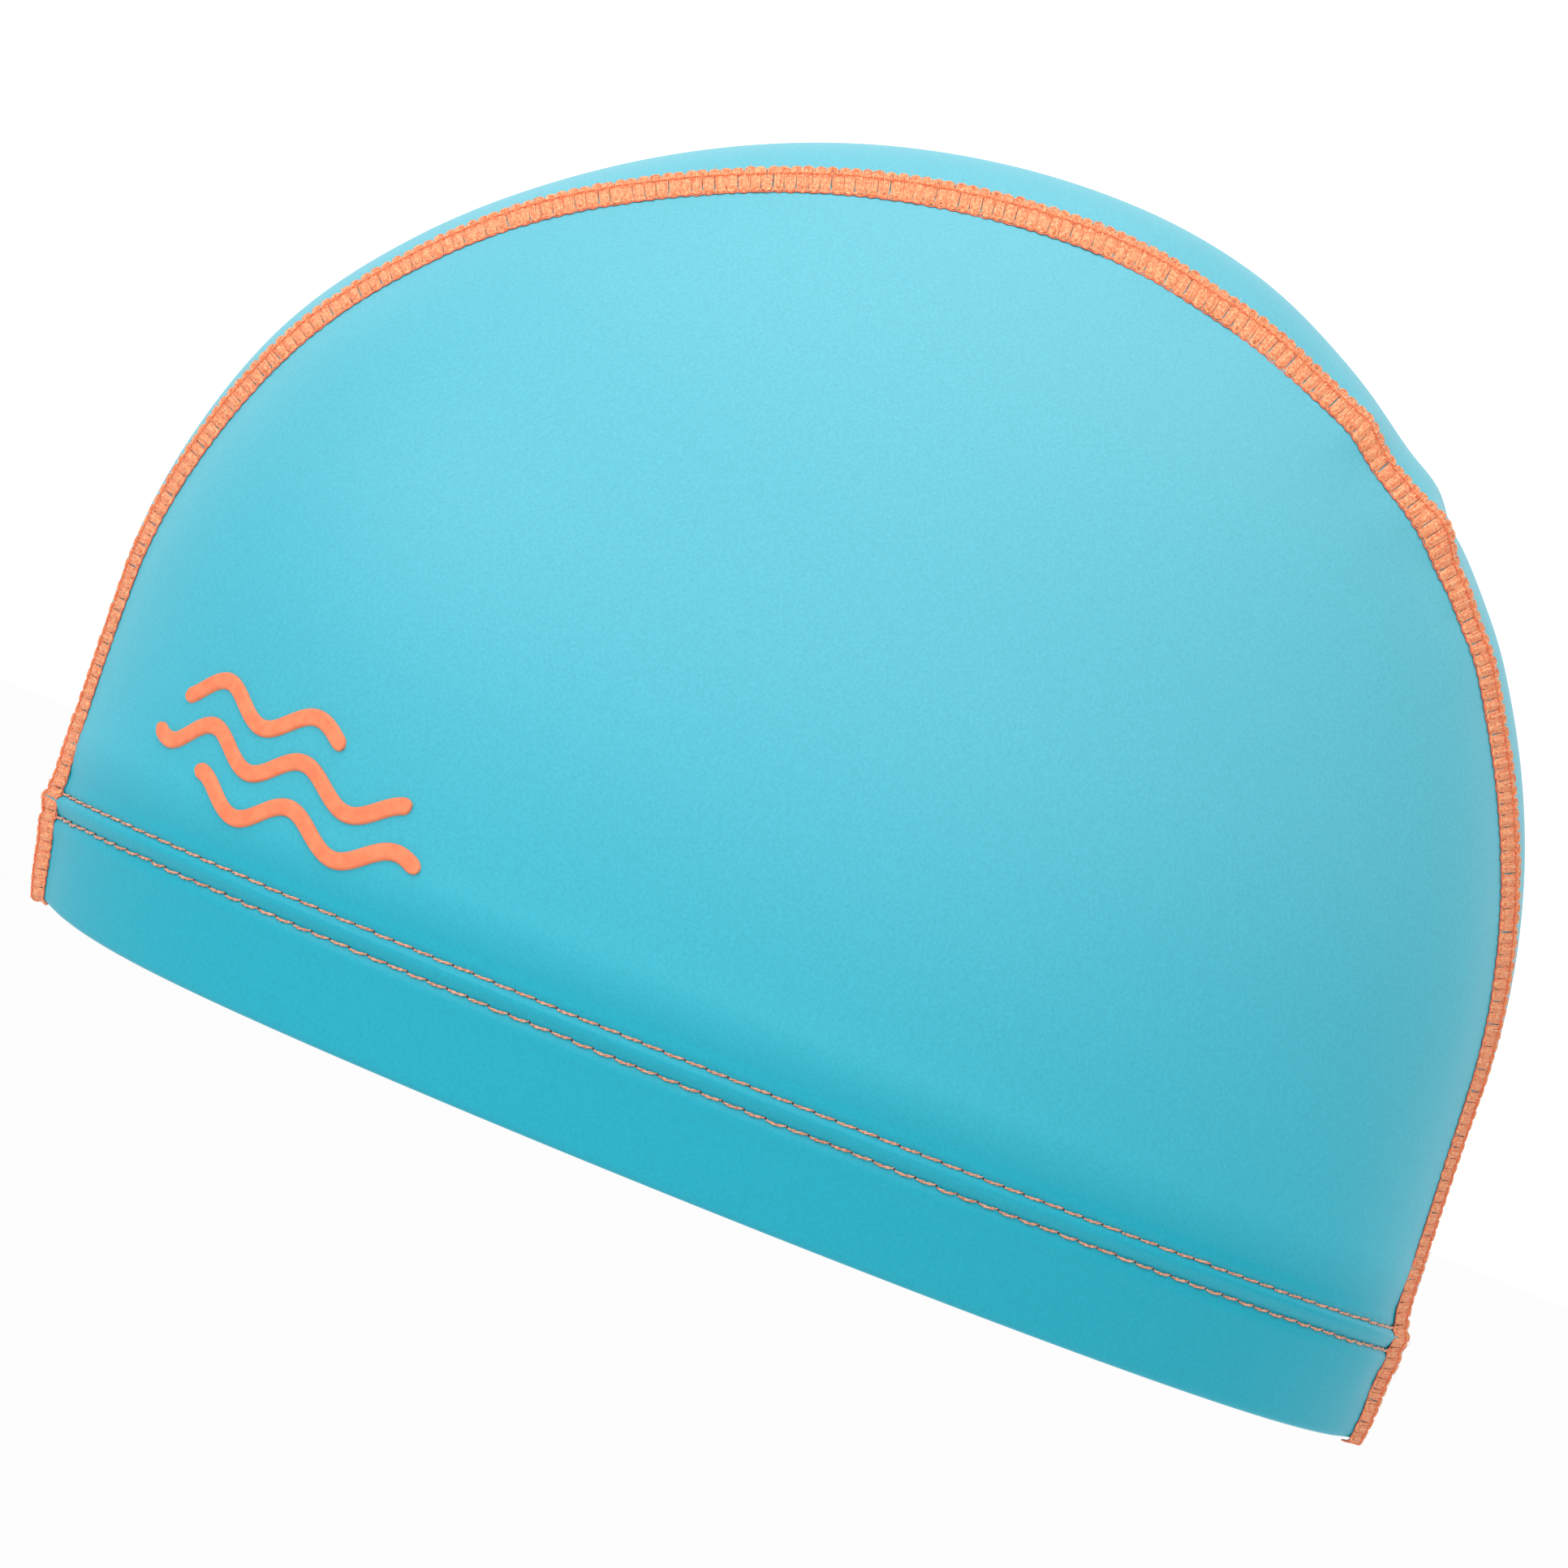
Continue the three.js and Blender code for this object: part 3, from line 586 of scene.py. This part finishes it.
def tubes(paths, normals, radius, sides):
    """Points and faces of closed tubes along paths, each a row of points with a normal each."""
    count, length = paths.shape[:2]
    along = unit(np.gradient(paths, axis=1))
    sideways = unit(np.cross(along, normals))
    upward = np.cross(sideways, along)
    turns = 2 * math.pi * np.arange(sides) / sides
    radius = np.broadcast_to(radius, (count, length))[..., None, None]
    ring = np.cos(turns)[:, None] * sideways[:, :, None] + np.sin(turns)[:, None] * upward[:, :, None]
    points = paths[:, :, None] + radius * ring
    index = np.arange(count * length * sides).reshape(count, length, sides)
    turned = np.roll(index, -1, axis=2)
    quads = np.stack([index[:, :-1], index[:, 1:], turned[:, 1:], turned[:, :-1]], axis=-1)
    starts = index[:, 0]
    stops = index[:, -1, ::-1]
    faces = [*quads.reshape(-1, 4).tolist(), *starts.tolist(), *stops.tolist()]
    return points.reshape(-1, 3), faces


def join(parts):
    """One list of points and faces from several, with a material number for each."""
    points, faces, numbers = [], [], []
    offset = 0
    for (part_points, part_faces), number in parts:
        points.append(part_points)
        faces.extend([[i + offset for i in face] for face in part_faces])
        numbers.extend([number] * len(part_faces))
        offset += len(part_points)
    return np.concatenate(points), faces, numbers


def mirrored(points, faces):
    return points * np.array([-1.0, 1.0, 1.0]), [face[::-1] for face in faces]


# Materials

def new_material(name):
    material = bpy.data.materials.new(name)
    material.use_nodes = True
    nodes = material.node_tree.nodes
    return material, nodes, material.node_tree.links, nodes["Principled BSDF"]


def noise(nodes, links, scale, detail=2.0, stretch=(1, 1, 1)):
    """A noise texture in the object's own space, scaled per metre."""
    coordinates = nodes.new("ShaderNodeTexCoord")
    mapping = nodes.new("ShaderNodeMapping")
    mapping.inputs["Scale"].default_value = stretch
    texture = nodes.new("ShaderNodeTexNoise")
    texture.inputs["Scale"].default_value = scale
    texture.inputs["Detail"].default_value = detail
    links.new(coordinates.outputs["Object"], mapping.inputs["Vector"])
    links.new(mapping.outputs["Vector"], texture.inputs["Vector"])
    return texture.outputs["Fac"]


def ramp(nodes, links, source, stops):
    """A colour ramp with the given places and colours."""
    node = nodes.new("ShaderNodeValToRGB")
    elements = node.color_ramp.elements
    while len(elements) < len(stops):
        elements.new(0.5)
    for element, (place, colour) in zip(elements, stops):
        element.position = place
        element.color = (*colour, 1)
    links.new(source, node.inputs["Fac"])
    return node.outputs["Color"]


def bump(nodes, links, layers, target):
    """Bumps laid over each other, each a height source, a strength and a depth in metres."""
    normal = None
    for source, strength, depth in layers:
        node = nodes.new("ShaderNodeBump")
        node.inputs["Strength"].default_value = strength
        node.inputs["Distance"].default_value = depth
        links.new(source, node.inputs["Height"])
        if normal is not None:
            links.new(normal, node.inputs["Normal"])
        normal = node.outputs["Normal"]
    links.new(normal, target.inputs["Normal"])


def linear(red, green, blue):
    """A colour in linear light, from its values out of 255 in a picture."""
    return tuple(((v / 255 + 0.055) / 1.055) ** 2.4 if v > 10 else v / 3295 for v in (red, green, blue))


def painted_light_by_height(nodes, links, stops):
    """A colour that changes with the height over the floor, from (height in metres, colour) pairs: painted
    light and shade.
    """
    coordinates = nodes.new("ShaderNodeTexCoord")
    parts = nodes.new("ShaderNodeSeparateXYZ")
    share = nodes.new("ShaderNodeMapRange")
    share.inputs["From Max"].default_value = CAP_HEIGHT
    links.new(coordinates.outputs["Object"], parts.inputs["Vector"])
    links.new(parts.outputs["Z"], share.inputs["Value"])
    return ramp(nodes, links, share.outputs["Result"], [(up / CAP_HEIGHT, colour) for up, colour in stops])


def multiplied(nodes, links, first, second):
    node = nodes.new("ShaderNodeMix")
    node.data_type = "RGBA"
    node.blend_type = "MULTIPLY"
    node.inputs[0].default_value = 1
    links.new(first, node.inputs[6])
    links.new(second, node.inputs[7])
    return node.outputs[2]


def coated_cloth():
    """Stretch knit under a satin coating, with a fine grain; its colour holds painted shade, deep blue in
    the hem, and a painted highlight, paler over the crown."""
    material, nodes, links, shader = new_material("coated_cloth")
    # Painted shade and highlight: the base colour is darkest in the hem and paler up the crown, as if lit
    # from above.
    colour = painted_light_by_height(nodes, links, [
        (0, linear(2, 169, 192)),
        (HEM_HEIGHT, linear(4, 170, 193)),
        (HEM_HEIGHT + 7 * MM, linear(54, 182, 204)),
        (0.5 * CAP_HEIGHT, linear(84, 186, 205)),
        (0.8 * CAP_HEIGHT, linear(94, 186, 203)),
    ])
    speckle = noise(nodes, links, 2300, 4)
    shade = ramp(nodes, links, speckle, [(0.3, (0.93,) * 3), (0.7, (1.07,) * 3)])
    links.new(multiplied(nodes, links, colour, shade), shader.inputs["Base Color"])
    grain = noise(nodes, links, 2600, 2)
    knit = noise(nodes, links, 1500, 1, (1, 1, 0.35))
    gloss = nodes.new("ShaderNodeMapRange")
    gloss.inputs["To Min"].default_value = 0.44
    gloss.inputs["To Max"].default_value = 0.54
    links.new(grain, gloss.inputs["Value"])
    links.new(gloss.outputs["Result"], shader.inputs["Roughness"])
    shader.inputs["Specular IOR Level"].default_value = 0.4
    shader.inputs["Coat Weight"].default_value = 0.12
    shader.inputs["Coat Roughness"].default_value = 0.5
    bump(nodes, links, [(knit, 0.25, 0.05 * MM), (grain, 0.3, 0.05 * MM)], shader)
    return material


def knit_inside():
    """The cloth's uncoated face: a matte knit, a little paler."""
    material, nodes, links, shader = new_material("knit_inside")
    cloudy = noise(nodes, links, 60, 3)
    colour = ramp(nodes, links, cloudy, [(0.3, linear(66, 172, 196)), (0.7, linear(84, 186, 208))])
    links.new(colour, shader.inputs["Base Color"])
    wales = noise(nodes, links, 1900, 1, (1, 1, 0.3))
    shader.inputs["Roughness"].default_value = 0.85
    shader.inputs["Sheen Weight"].default_value = 0.3
    bump(nodes, links, [(wales, 0.6, 0.12 * MM)], shader)
    return material


def thread_material(name, dark, light, roughness=0.75):
    """Textured yarn: fibres run through it in lighter and darker streaks."""
    material, nodes, links, shader = new_material(name)
    streaks = noise(nodes, links, 2400, 3)
    colour = ramp(nodes, links, streaks, [(0.35, linear(*dark)), (0.65, linear(*light))])
    links.new(colour, shader.inputs["Base Color"])
    fibres = noise(nodes, links, 7000, 2)
    shader.inputs["Roughness"].default_value = roughness
    shader.inputs["Sheen Weight"].default_value = 0.15
    shader.inputs["Sheen Roughness"].default_value = 0.5
    bump(nodes, links, [(fibres, 0.7, 0.05 * MM)], shader)
    return material


def print_material():
    """Raised transfer print in satin orange with a fine grain."""
    material, nodes, links, shader = new_material("raised_print")
    patches = noise(nodes, links, 700, 2)
    colour = ramp(nodes, links, patches, [(0.35, linear(250, 128, 84)), (0.65, linear(255, 142, 96))])
    links.new(colour, shader.inputs["Base Color"])
    shader.inputs["Roughness"].default_value = 0.5
    grain = noise(nodes, links, 3200, 2)
    bump(nodes, links, [(grain, 0.35, 0.04 * MM)], shader)
    return material


def glowing_stage(name, glow, albedo):
    """A softly lit studio surface: pale, with a glow that evens out the light."""
    material, nodes, links, shader = new_material(name)
    tone = noise(nodes, links, 2, 1)
    low, high = albedo * 0.98, albedo
    links.new(ramp(nodes, links, tone, [(0.3, (low,) * 3), (0.7, (high,) * 3)]), shader.inputs["Base Color"])
    shader.inputs["Roughness"].default_value = 0.9
    shader.inputs["Specular IOR Level"].default_value = 0.1
    shader.inputs["Emission Color"].default_value = (1, 1, 1, 1)
    shader.inputs["Emission Strength"].default_value = glow
    return material


coated = coated_cloth()
inside = knit_inside()
thread = thread_material("seam_yarn", (246, 128, 78), (255, 196, 144))
chain = thread_material("chain_yarn", (238, 112, 62), (255, 150, 94))
rim = thread_material("rim_yarn", (226, 100, 66), (250, 130, 92))
hem_thread = thread_material("hem_thread", (206, 120, 90), (252, 188, 156), 0.5)
# Painted shade: dark brown for the needle holes where the hem thread enters the cloth.
painted_hole_shade = thread_material("needle_hole_shade", (70, 40, 42), (110, 60, 56), 0.9)
printed = print_material()


# The cloth pieces

def add_cloth():
    outer, inner = panel_layers()
    points, faces, numbers = closed_shell(outer, inner, False)
    add_cloth_piece("panel_cloth_left", points, faces, numbers, "side_panel_left")
    points, faces = mirrored(points, faces)
    add_cloth_piece("panel_cloth_right", points, faces, numbers, "side_panel_right")
    outer, inner = strip_layers()
    points, faces, numbers = closed_shell(outer, inner, True)
    add_cloth_piece("strip_cloth", points, faces, numbers, "crown_strip")


def add_cloth_piece(name, points, faces, numbers, node):
    """A cloth piece, with its coated face outside and in the hem's turned-in part."""
    sides = [0 if all(points[i][2] < HEM_HEIGHT for i in face) else number
             for face, number in zip(faces, numbers)]
    piece = add_mesh(name, points, faces, [coated, inside], sides)
    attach(piece, "root")
    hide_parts(node)


add_cloth()


# The flatlock seams

def seam_point(run, across, height):
    """Points over the seam and their normals: across is positive on the panel's side, and runs below
    the fold's radius turn under the hem."""
    under = np.maximum(FOLD_RADIUS - run, 0) + np.maximum(run - (SEAM_LENGTH - FOLD_RADIUS), 0)
    turn = np.minimum(under / FOLD_RADIUS, math.pi / 2)
    seam = seam_frame(np.clip(run, FOLD_RADIUS, SEAM_LENGTH - FOLD_RADIUS))
    share = np.clip((across / SEAM_HALF + 1) / 2, 0, 1)[..., None]
    normal = unit((1 - share) * seam["strip_normal"] + share * seam["panel_normal"])
    wide = across[..., None]
    base = seam["point"] + np.where(wide > 0, seam["to_panel"] * wide, -seam["to_strip"] * wide)
    base = base - normal * wide**2 / (2 * SEAM_BEND)
    base = base + normal * (fold_lift(base) + 0.5 * hem_lift(base[..., 2]))[..., None]
    turn = turn[..., None]
    base = base - normal * FOLD_RADIUS * (1 - np.cos(turn)) - UP * FOLD_RADIUS * np.sin(turn)
    normal = normal * np.cos(turn) - UP * np.sin(turn)
    point = pull_up(base + normal * height[..., None], ("front",))
    point[..., 2] = np.maximum(point[..., 2], STRAND_RADIUS)
    return point, normal


PITCH_STEPS = 10
WRAP = 0.5 * MM
SEAM_PITCHES = round((SEAM_LENGTH + 2 * WRAP) / SEAM_PITCH)


def wrap_runs(pitches):
    """Runs along the seam at places counted in pitches, from under one hem to under the other."""
    return pitches * (SEAM_LENGTH + 2 * WRAP) / SEAM_PITCHES - WRAP


def sway(rng, t, size):
    """A random sway along the seam, with two free turns in each pitch."""
    knots = np.arange(0, SEAM_PITCHES + 1, 0.5)
    return size * np.interp(t, knots, rng.standard_normal(len(knots)))


def strand_paths(lateral, height, offsets, rng, bulge=0, pairing=0):
    """Paths that swing across the seam and back in each pitch, side by side at the given offsets.
    The bulge rounds the turns at the edges, and the pairing draws each swing and its return together."""
    t = np.linspace(0, SEAM_PITCHES, SEAM_PITCHES * PITCH_STEPS + 1)
    step = (SEAM_LENGTH + 2 * WRAP) / SEAM_PITCHES
    along = t + bulge * np.sin(4 * math.pi * t) - pairing * np.sin(2 * math.pi * t) + sway(rng, t, 0.05)
    across = lateral(t)
    forward = np.gradient(along, t) * step
    sideways = np.gradient(across, t)
    size = np.hypot(forward, sideways)
    paths, normals = [], []
    for offset in offsets:
        aside = offset + sway(rng, t, 0.03 * MM)
        run = wrap_runs(along) - sideways / size * aside
        rise = height(t, offset) + sway(rng, t, 0.03 * MM)
        point, normal = seam_point(run, across + forward / size * aside, rise)
        paths.append(point)
        normals.append(normal)
    return np.array(paths), np.array(normals)


def swing(t):
    """A swing from side to side in each pitch, with flat turns."""
    return np.sin(math.pi / 2 * np.cos(2 * math.pi * t))


def cover_strands(rng):
    """The threads that cover the seam, in ribs of four over a thinner layer that swings against them."""
    reach = SEAM_HALF - 1.5 * STRAND_SPACING - STRAND_RADIUS
    offsets = [STRAND_SPACING * i for i in (-1.5, -0.5, 0.5, 1.5)]
    over = strand_paths(
        lambda t: (reach + sway(rng, t, 0.06 * MM)) * swing(t),
        lambda t, offset: 1.2 * STRAND_RADIUS + RIB_RISE * (1 - offset / offsets[-1]) / 2,
        offsets,
        rng,
        bulge=0.06,
        pairing=0.035,
    )
    under = strand_paths(
        lambda t: -reach * (0.97 * swing(t) + 0.03),
        lambda t, offset: np.full(len(t), 0.3 * STRAND_RADIUS),
        (-0.6 * STRAND_SPACING, 0.6 * STRAND_SPACING),
        rng,
        bulge=0.06,
    )
    return np.concatenate([over[0], under[0]]), np.concatenate([over[1], under[1]])


def chain_strands(rng):
    return strand_paths(
        lambda t: CHAIN_ACROSS + 0.09 * MM * np.sin(4 * math.pi * t) + sway(rng, t, 0.05 * MM),
        lambda t, offset: 2.4 * STRAND_RADIUS + RIB_RISE * np.ones(len(t)),
        (0,),
        rng,
    )


def rim_strands(rng):
    return strand_paths(
        lambda t: SEAM_HALF - 0.02 * MM + 0.12 * MM * np.cos(2 * math.pi * t) + sway(rng, t, 0.03 * MM),
        lambda t, offset: np.full(len(t), 1.2 * RIM_RADIUS),
        (0,),
        rng,
    )


def fuzz(rng):
    """Short loose fibres that stand out of the seam's threads."""
    t = np.linspace(0, 1, 4)[None]
    start = rng.uniform(0, SEAM_PITCHES, (FUZZ_COUNT, 1))
    place = SEAM_HALF * rng.uniform(-0.98, 0.98, (FUZZ_COUNT, 1))
    heading = rng.uniform(0, 2 * math.pi, (FUZZ_COUNT, 1))
    length = FUZZ_LENGTH * rng.uniform(0.4, 1, (FUZZ_COUNT, 1))
    bend = rng.uniform(-1.2, 1.2, (FUZZ_COUNT, 1))
    run = wrap_runs(start) + length * t * np.cos(heading + bend * t)
    across = place + length * t * np.sin(heading + bend * t)
    height = 2 * STRAND_RADIUS + RIB_RISE * rng.uniform(0, 1, (FUZZ_COUNT, 1)) + 0.35 * length * t
    return seam_point(run, across, height)


def inner_strands():
    def below(t):
        z = seam_frame(np.clip(wrap_runs(t), FOLD_RADIUS, SEAM_LENGTH - FOLD_RADIUS))["point"][..., 2]
        return -layer_depths(z)[1] - STRAND_RADIUS

    t = np.linspace(2, SEAM_PITCHES - 2, (SEAM_PITCHES - 4) * 8 + 1)
    across = 0.8 * SEAM_HALF * np.cos(2 * math.pi * t)
    point, normal = seam_point(wrap_runs(t), across, below(t))
    return point[None], normal[None]


def add_seams():
    rng = np.random.default_rng(5)
    parts = [
        (tubes(*cover_strands(rng), STRAND_RADIUS, 4), 0),
        (tubes(*chain_strands(rng), CHAIN_RADIUS, 4), 1),
        (tubes(*rim_strands(rng), RIM_RADIUS, 3), 2),
        (tubes(*inner_strands(), 1.8 * STRAND_RADIUS, 4), 0),
    ]
    points, faces, numbers = join(parts)
    fibres = tubes(*fuzz(rng), FUZZ_RADIUS, 3)
    for side, node in (("left", "seam_left"), ("right", "seam_right")):
        if side == "right":
            points, faces = mirrored(points, faces)
            fibres = mirrored(*fibres)
        piece = add_mesh("flatlock_loops_" + side, points, faces, [thread, chain, rim], numbers)
        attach(piece, "root")
        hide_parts(node)
        loose = add_mesh("loose_fibres_" + side, *fibres, [thread])
        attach(loose, "root")


add_seams()


# The hem's stitches

STITCH_STEPS = 9
PLIES = 2


def surface_of_panel(stitches, z):
    """Points and normals of the left panel's cloth, at places counted in stitches along the hem."""
    shares = np.interp(stitches / PANEL_STITCHES, np.linspace(0, 1, len(column_shares)), column_shares)
    _, _, _, start, stop = panel_section(z)
    angle = start + (stop - start) * shares
    point, _, _, normal = panel_frame(angle, z)
    lift = fold_lift(point) + hem_lift(z)
    return point + normal * lift[..., None], normal


def surface_of_strip(end):
    def surface(stitches, z):
        at = section_at(run_at_height(z, end))
        share = 2 * stitches / STRIP_STITCHES - 1
        point, normal = strip_point(at, share * at["spread"])
        lift = fold_lift(point) + hem_lift(z)
        return point + normal * lift[..., None], normal
    return surface


def row_stitches(surface, first, last, height, sag, rng):
    """Two-ply stitches of one row, from hole to hole along the hem."""
    starts = np.arange(first, last)[:, None]
    t = np.linspace(0.04, 0.96, STITCH_STEPS)[None]
    places = starts + t
    drop = sag * (1 + 0.3 * rng.standard_normal(starts.shape)) * np.sin(math.pi * t)
    z = height - drop + STITCH_SLANT * (t - 0.5) + 0.03 * MM * rng.standard_normal(starts.shape)
    point, normal = surface(places, z)
    rise = STITCH_RADIUS * (0.2 + 1.3 * np.sin(math.pi * t) ** 0.6) * np.ones(starts.shape)
    side = unit(np.cross(unit(np.gradient(point, axis=1)), normal))
    paths, normals = [], []
    for ply in range(PLIES):
        twist = 2 * math.pi * (ply / PLIES + 1.5 * t)
        swing = 0.5 * STITCH_RADIUS
        paths.append(point + normal * (rise + swing * np.sin(twist))[..., None]
                     + side * (swing * np.cos(twist))[..., None])
        normals.append(normal)
    return np.concatenate(paths), np.concatenate(normals)


def row_holes(surface, first, last, height):
    """Small dark knots where the thread enters the cloth, coloured with the painted shade of the needle
    holes.
    """
    places = np.arange(first, last + 1)[:, None] + np.linspace(-0.04, 0.04, 3)[None]
    z = np.full(places.shape, height)
    point, normal = surface(places, z)
    return point + normal * (0.02 * MM), normal


def add_hem_stitches():
    rng = np.random.default_rng(11)
    clear = round(SEAM_HALF / STITCH)
    surfaces = [
        (surface_of_panel, PANEL_STITCHES, True),
        (surface_of_strip("front"), STRIP_STITCHES, False),
        (surface_of_strip("back"), STRIP_STITCHES, False),
    ]
    parts = []
    for surface, count, both in surfaces:
        for height, sag in ((LOWER_ROW, LOWER_SAG), (UPPER_ROW, UPPER_SAG)):
            paths, normals = row_stitches(surface, clear, count - clear, height, sag, rng)
            taper = STITCH_RADIUS * 0.62 * np.interp(np.linspace(0, 1, STITCH_STEPS), [0, 0.15, 0.85, 1],
                                                     [0.6, 1, 1, 0.6])
            threads = tubes(paths, normals, taper, 5)
            holes = tubes(*row_holes(surface, clear, count - clear, height), HOLE_RADIUS, 5)
            parts += [(threads, 0), (holes, 1)]
            if both:
                parts += [(mirrored(*threads), 0), (mirrored(*holes), 1)]
    points, faces, numbers = join(parts)
    piece = add_mesh("hem_stitches", points, faces, [hem_thread, painted_hole_shade], numbers)
    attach(piece, "root")


add_hem_stitches()


# The raised wave strokes

STROKE_STEPS = 160


def stroke_layers(row):
    """The outer and inner points of one stroke, with a round edge and round ends."""
    run = np.linalg.norm(panel_frame(np.array(EMBLEM_ANGLE), np.array(EMBLEM_HEIGHT))[1])
    start = row["start"] * WAVE_LENGTH
    length = row["length"] * WAVE_LENGTH
    share = (1 - np.cos(np.linspace(0, math.pi, STROKE_STEPS + 1))) / 2
    along = STROKE_TIP + (length - 2 * STROKE_TIP) * share
    to_end = np.minimum(np.minimum(along, length - along), STROKE_WIDTH / 2)
    half = np.sqrt(STROKE_WIDTH * to_end - to_end**2)
    phase = 2 * math.pi * (start + along) / WAVE_LENGTH
    climb = WAVE_SWING * 2 * math.pi * np.cos(phase) / WAVE_LENGTH
    tilt = np.hypot(1, climb)
    profile = np.linspace(-1, 1, 13)[:, None]
    sideways = profile * half
    u = start + along - sideways * climb / tilt
    v = row["row"] * WAVE_SPACING + WAVE_SWING * np.sin(phase) + sideways / tilt
    point, _, _, normal = panel_frame(EMBLEM_ANGLE + u / run, EMBLEM_HEIGHT + v)
    lift = fold_lift(point) + hem_lift(point[..., 2])
    edge = np.minimum(1 - np.abs(profile), 1) * half
    height = STROKE_RISE * np.sqrt(1 - (1 - np.clip(edge / STROKE_ROUNDING, 0, 1)) ** 2)
    outer = point + normal * (lift + height)[..., None]
    inner = point + normal * (lift - STROKE_SUNK)[..., None]
    return outer, inner


def stroke_faces(rows, columns):
    """The faces of a closed slab between two grids of points, the outer grid's points first."""
    outer = np.arange(rows * columns).reshape(rows, columns)
    inner = outer + rows * columns
    top = np.stack([outer[:-1, :-1], outer[:-1, 1:], outer[1:, 1:], outer[1:, :-1]], axis=-1)
    under = np.stack([inner[:-1, :-1], inner[1:, :-1], inner[1:, 1:], inner[:-1, 1:]], axis=-1)
    rim = np.concatenate([outer[0], outer[1:, -1], outer[-1, -2::-1], outer[-2:0:-1, 0]])
    turned = np.roll(rim, -1)
    sides = np.stack([rim, rim + rows * columns, turned + rows * columns, turned], axis=-1)
    return [face for faces in (top, under, sides) for face in faces.reshape(-1, 4).tolist()]


def add_strokes():
    for row in STROKE_ROWS:
        outer, inner = stroke_layers(row)
        points = np.concatenate([outer.reshape(-1, 3), inner.reshape(-1, 3)])
        faces = stroke_faces(*outer.shape[:2])
        piece = add_mesh(row["name"].replace("emblem", "print"), points, faces, [printed])
        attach(piece, "root")
        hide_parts(row["name"])


add_strokes()


# Studio

STAGE_FLAT = 2.2
STAGE_FILLET = 1.0
STAGE_WALL = 2.5
STAGE_SEGMENTS = 96


def add_stage():
    """A round floor that curves up into a wall, bright behind the cap's right side and dimmer round
    the rest."""
    turns = np.linspace(0, math.pi / 2, 17)
    profile = [(STAGE_FLAT / 2, 0)]
    profile += [(STAGE_FLAT + STAGE_FILLET * math.sin(a), STAGE_FILLET * (1 - math.cos(a))) for a in turns]
    profile += [(STAGE_FLAT + STAGE_FILLET, STAGE_FILLET + STAGE_WALL)]
    ring = np.linspace(0, 2 * math.pi, STAGE_SEGMENTS, endpoint=False)
    points = np.array([[r * math.cos(a), r * math.sin(a), z] for r, z in profile for a in ring])
    index = np.arange(len(points)).reshape(-1, STAGE_SEGMENTS)
    turned = np.roll(index, -1, axis=1)
    quads = np.stack([index[:-1], turned[:-1], turned[1:], index[1:]], axis=-1)
    backdrop = np.cos(ring) < -0.4
    faces = [index[0].tolist(), *quads.reshape(-1, 4).tolist()]
    numbers = [0]
    for row in range(len(quads)):
        numbers += [0 if row == 0 or backdrop[i] else 1 for i in range(STAGE_SEGMENTS)]
    materials = [glowing_stage("studio_floor", 0.98, 0.3), glowing_stage("studio_wall", 0.12, 0.3)]
    floor = add_mesh("studio_floor", points, faces, materials, numbers)


def add_light(name, place, target, size, power):
    light = bpy.data.lights.new(name, "AREA")
    light.shape = "RECTANGLE"
    light.size, light.size_y = size
    light.energy = power
    lamp = bpy.data.objects.new(name, light)
    bpy.context.scene.collection.objects.link(lamp)
    back = unit(np.array(place) - np.array(target))
    right = unit(np.cross(UP + np.array([0, 1e-4, 0]), back))
    over = np.cross(back, right)
    lamp.matrix_world = Matrix([(*column, offset) for column, offset in
                                zip(np.stack([right, over, back], axis=1).tolist(), place)] + [(0, 0, 0, 1)])


def add_camera():
    data = bpy.data.cameras.new("camera")
    data.sensor_width = SENSOR
    data.lens = SENSOR * CAMERA_DISTANCE / FRAME_WIDTH
    data.clip_start, data.clip_end = 0.05, 20
    camera = bpy.data.objects.new("camera", data)
    bpy.context.scene.collection.objects.link(camera)
    sine, cosine = math.sin(CAMERA_ROLL), math.cos(CAMERA_ROLL)
    camera.matrix_world = Matrix((
        (0, 0, 1, CAMERA_DISTANCE),
        (cosine, -sine, 0, CAMERA_SHIFT_BACK),
        (sine, cosine, 0, CAMERA_HEIGHT),
        (0, 0, 0, 1),
    ))
    bpy.context.scene.camera = camera


# The softboxes, with their places and sizes in metres, the height they aim at and their power in watts
LIGHT_ROWS = [
    {"name": "overhead_softbox", "place": (0.1, -0.1, 1.35), "aim": 0.05, "size": (1.5, 1.5), "power": 13},
    {"name": "front_softbox", "place": (1.35, -0.1, 0.95), "aim": 0.06, "size": (2.4, 0.7), "power": 11.5},
    {"name": "forehead_softbox", "place": (0.75, -1.35, 0.9), "aim": 0.06, "size": (1.0, 0.7), "power": 7.7},
    {"name": "nape_softbox", "place": (0.75, 1.35, 0.9), "aim": 0.06, "size": (1.0, 0.7), "power": 1.2},
]


def light_room():
    world = bpy.data.worlds.new("studio")
    world.use_nodes = True
    world.node_tree.nodes["Background"].inputs["Color"].default_value = (1, 1, 1, 1)
    world.node_tree.nodes["Background"].inputs["Strength"].default_value = 0.25
    bpy.context.scene.world = world
    bpy.context.scene.view_settings.view_transform = "Standard"
    for row in LIGHT_ROWS:
        add_light(row["name"], row["place"], (0, 0, row["aim"]), row["size"], row["power"])


add_camera()
add_stage()
light_room()
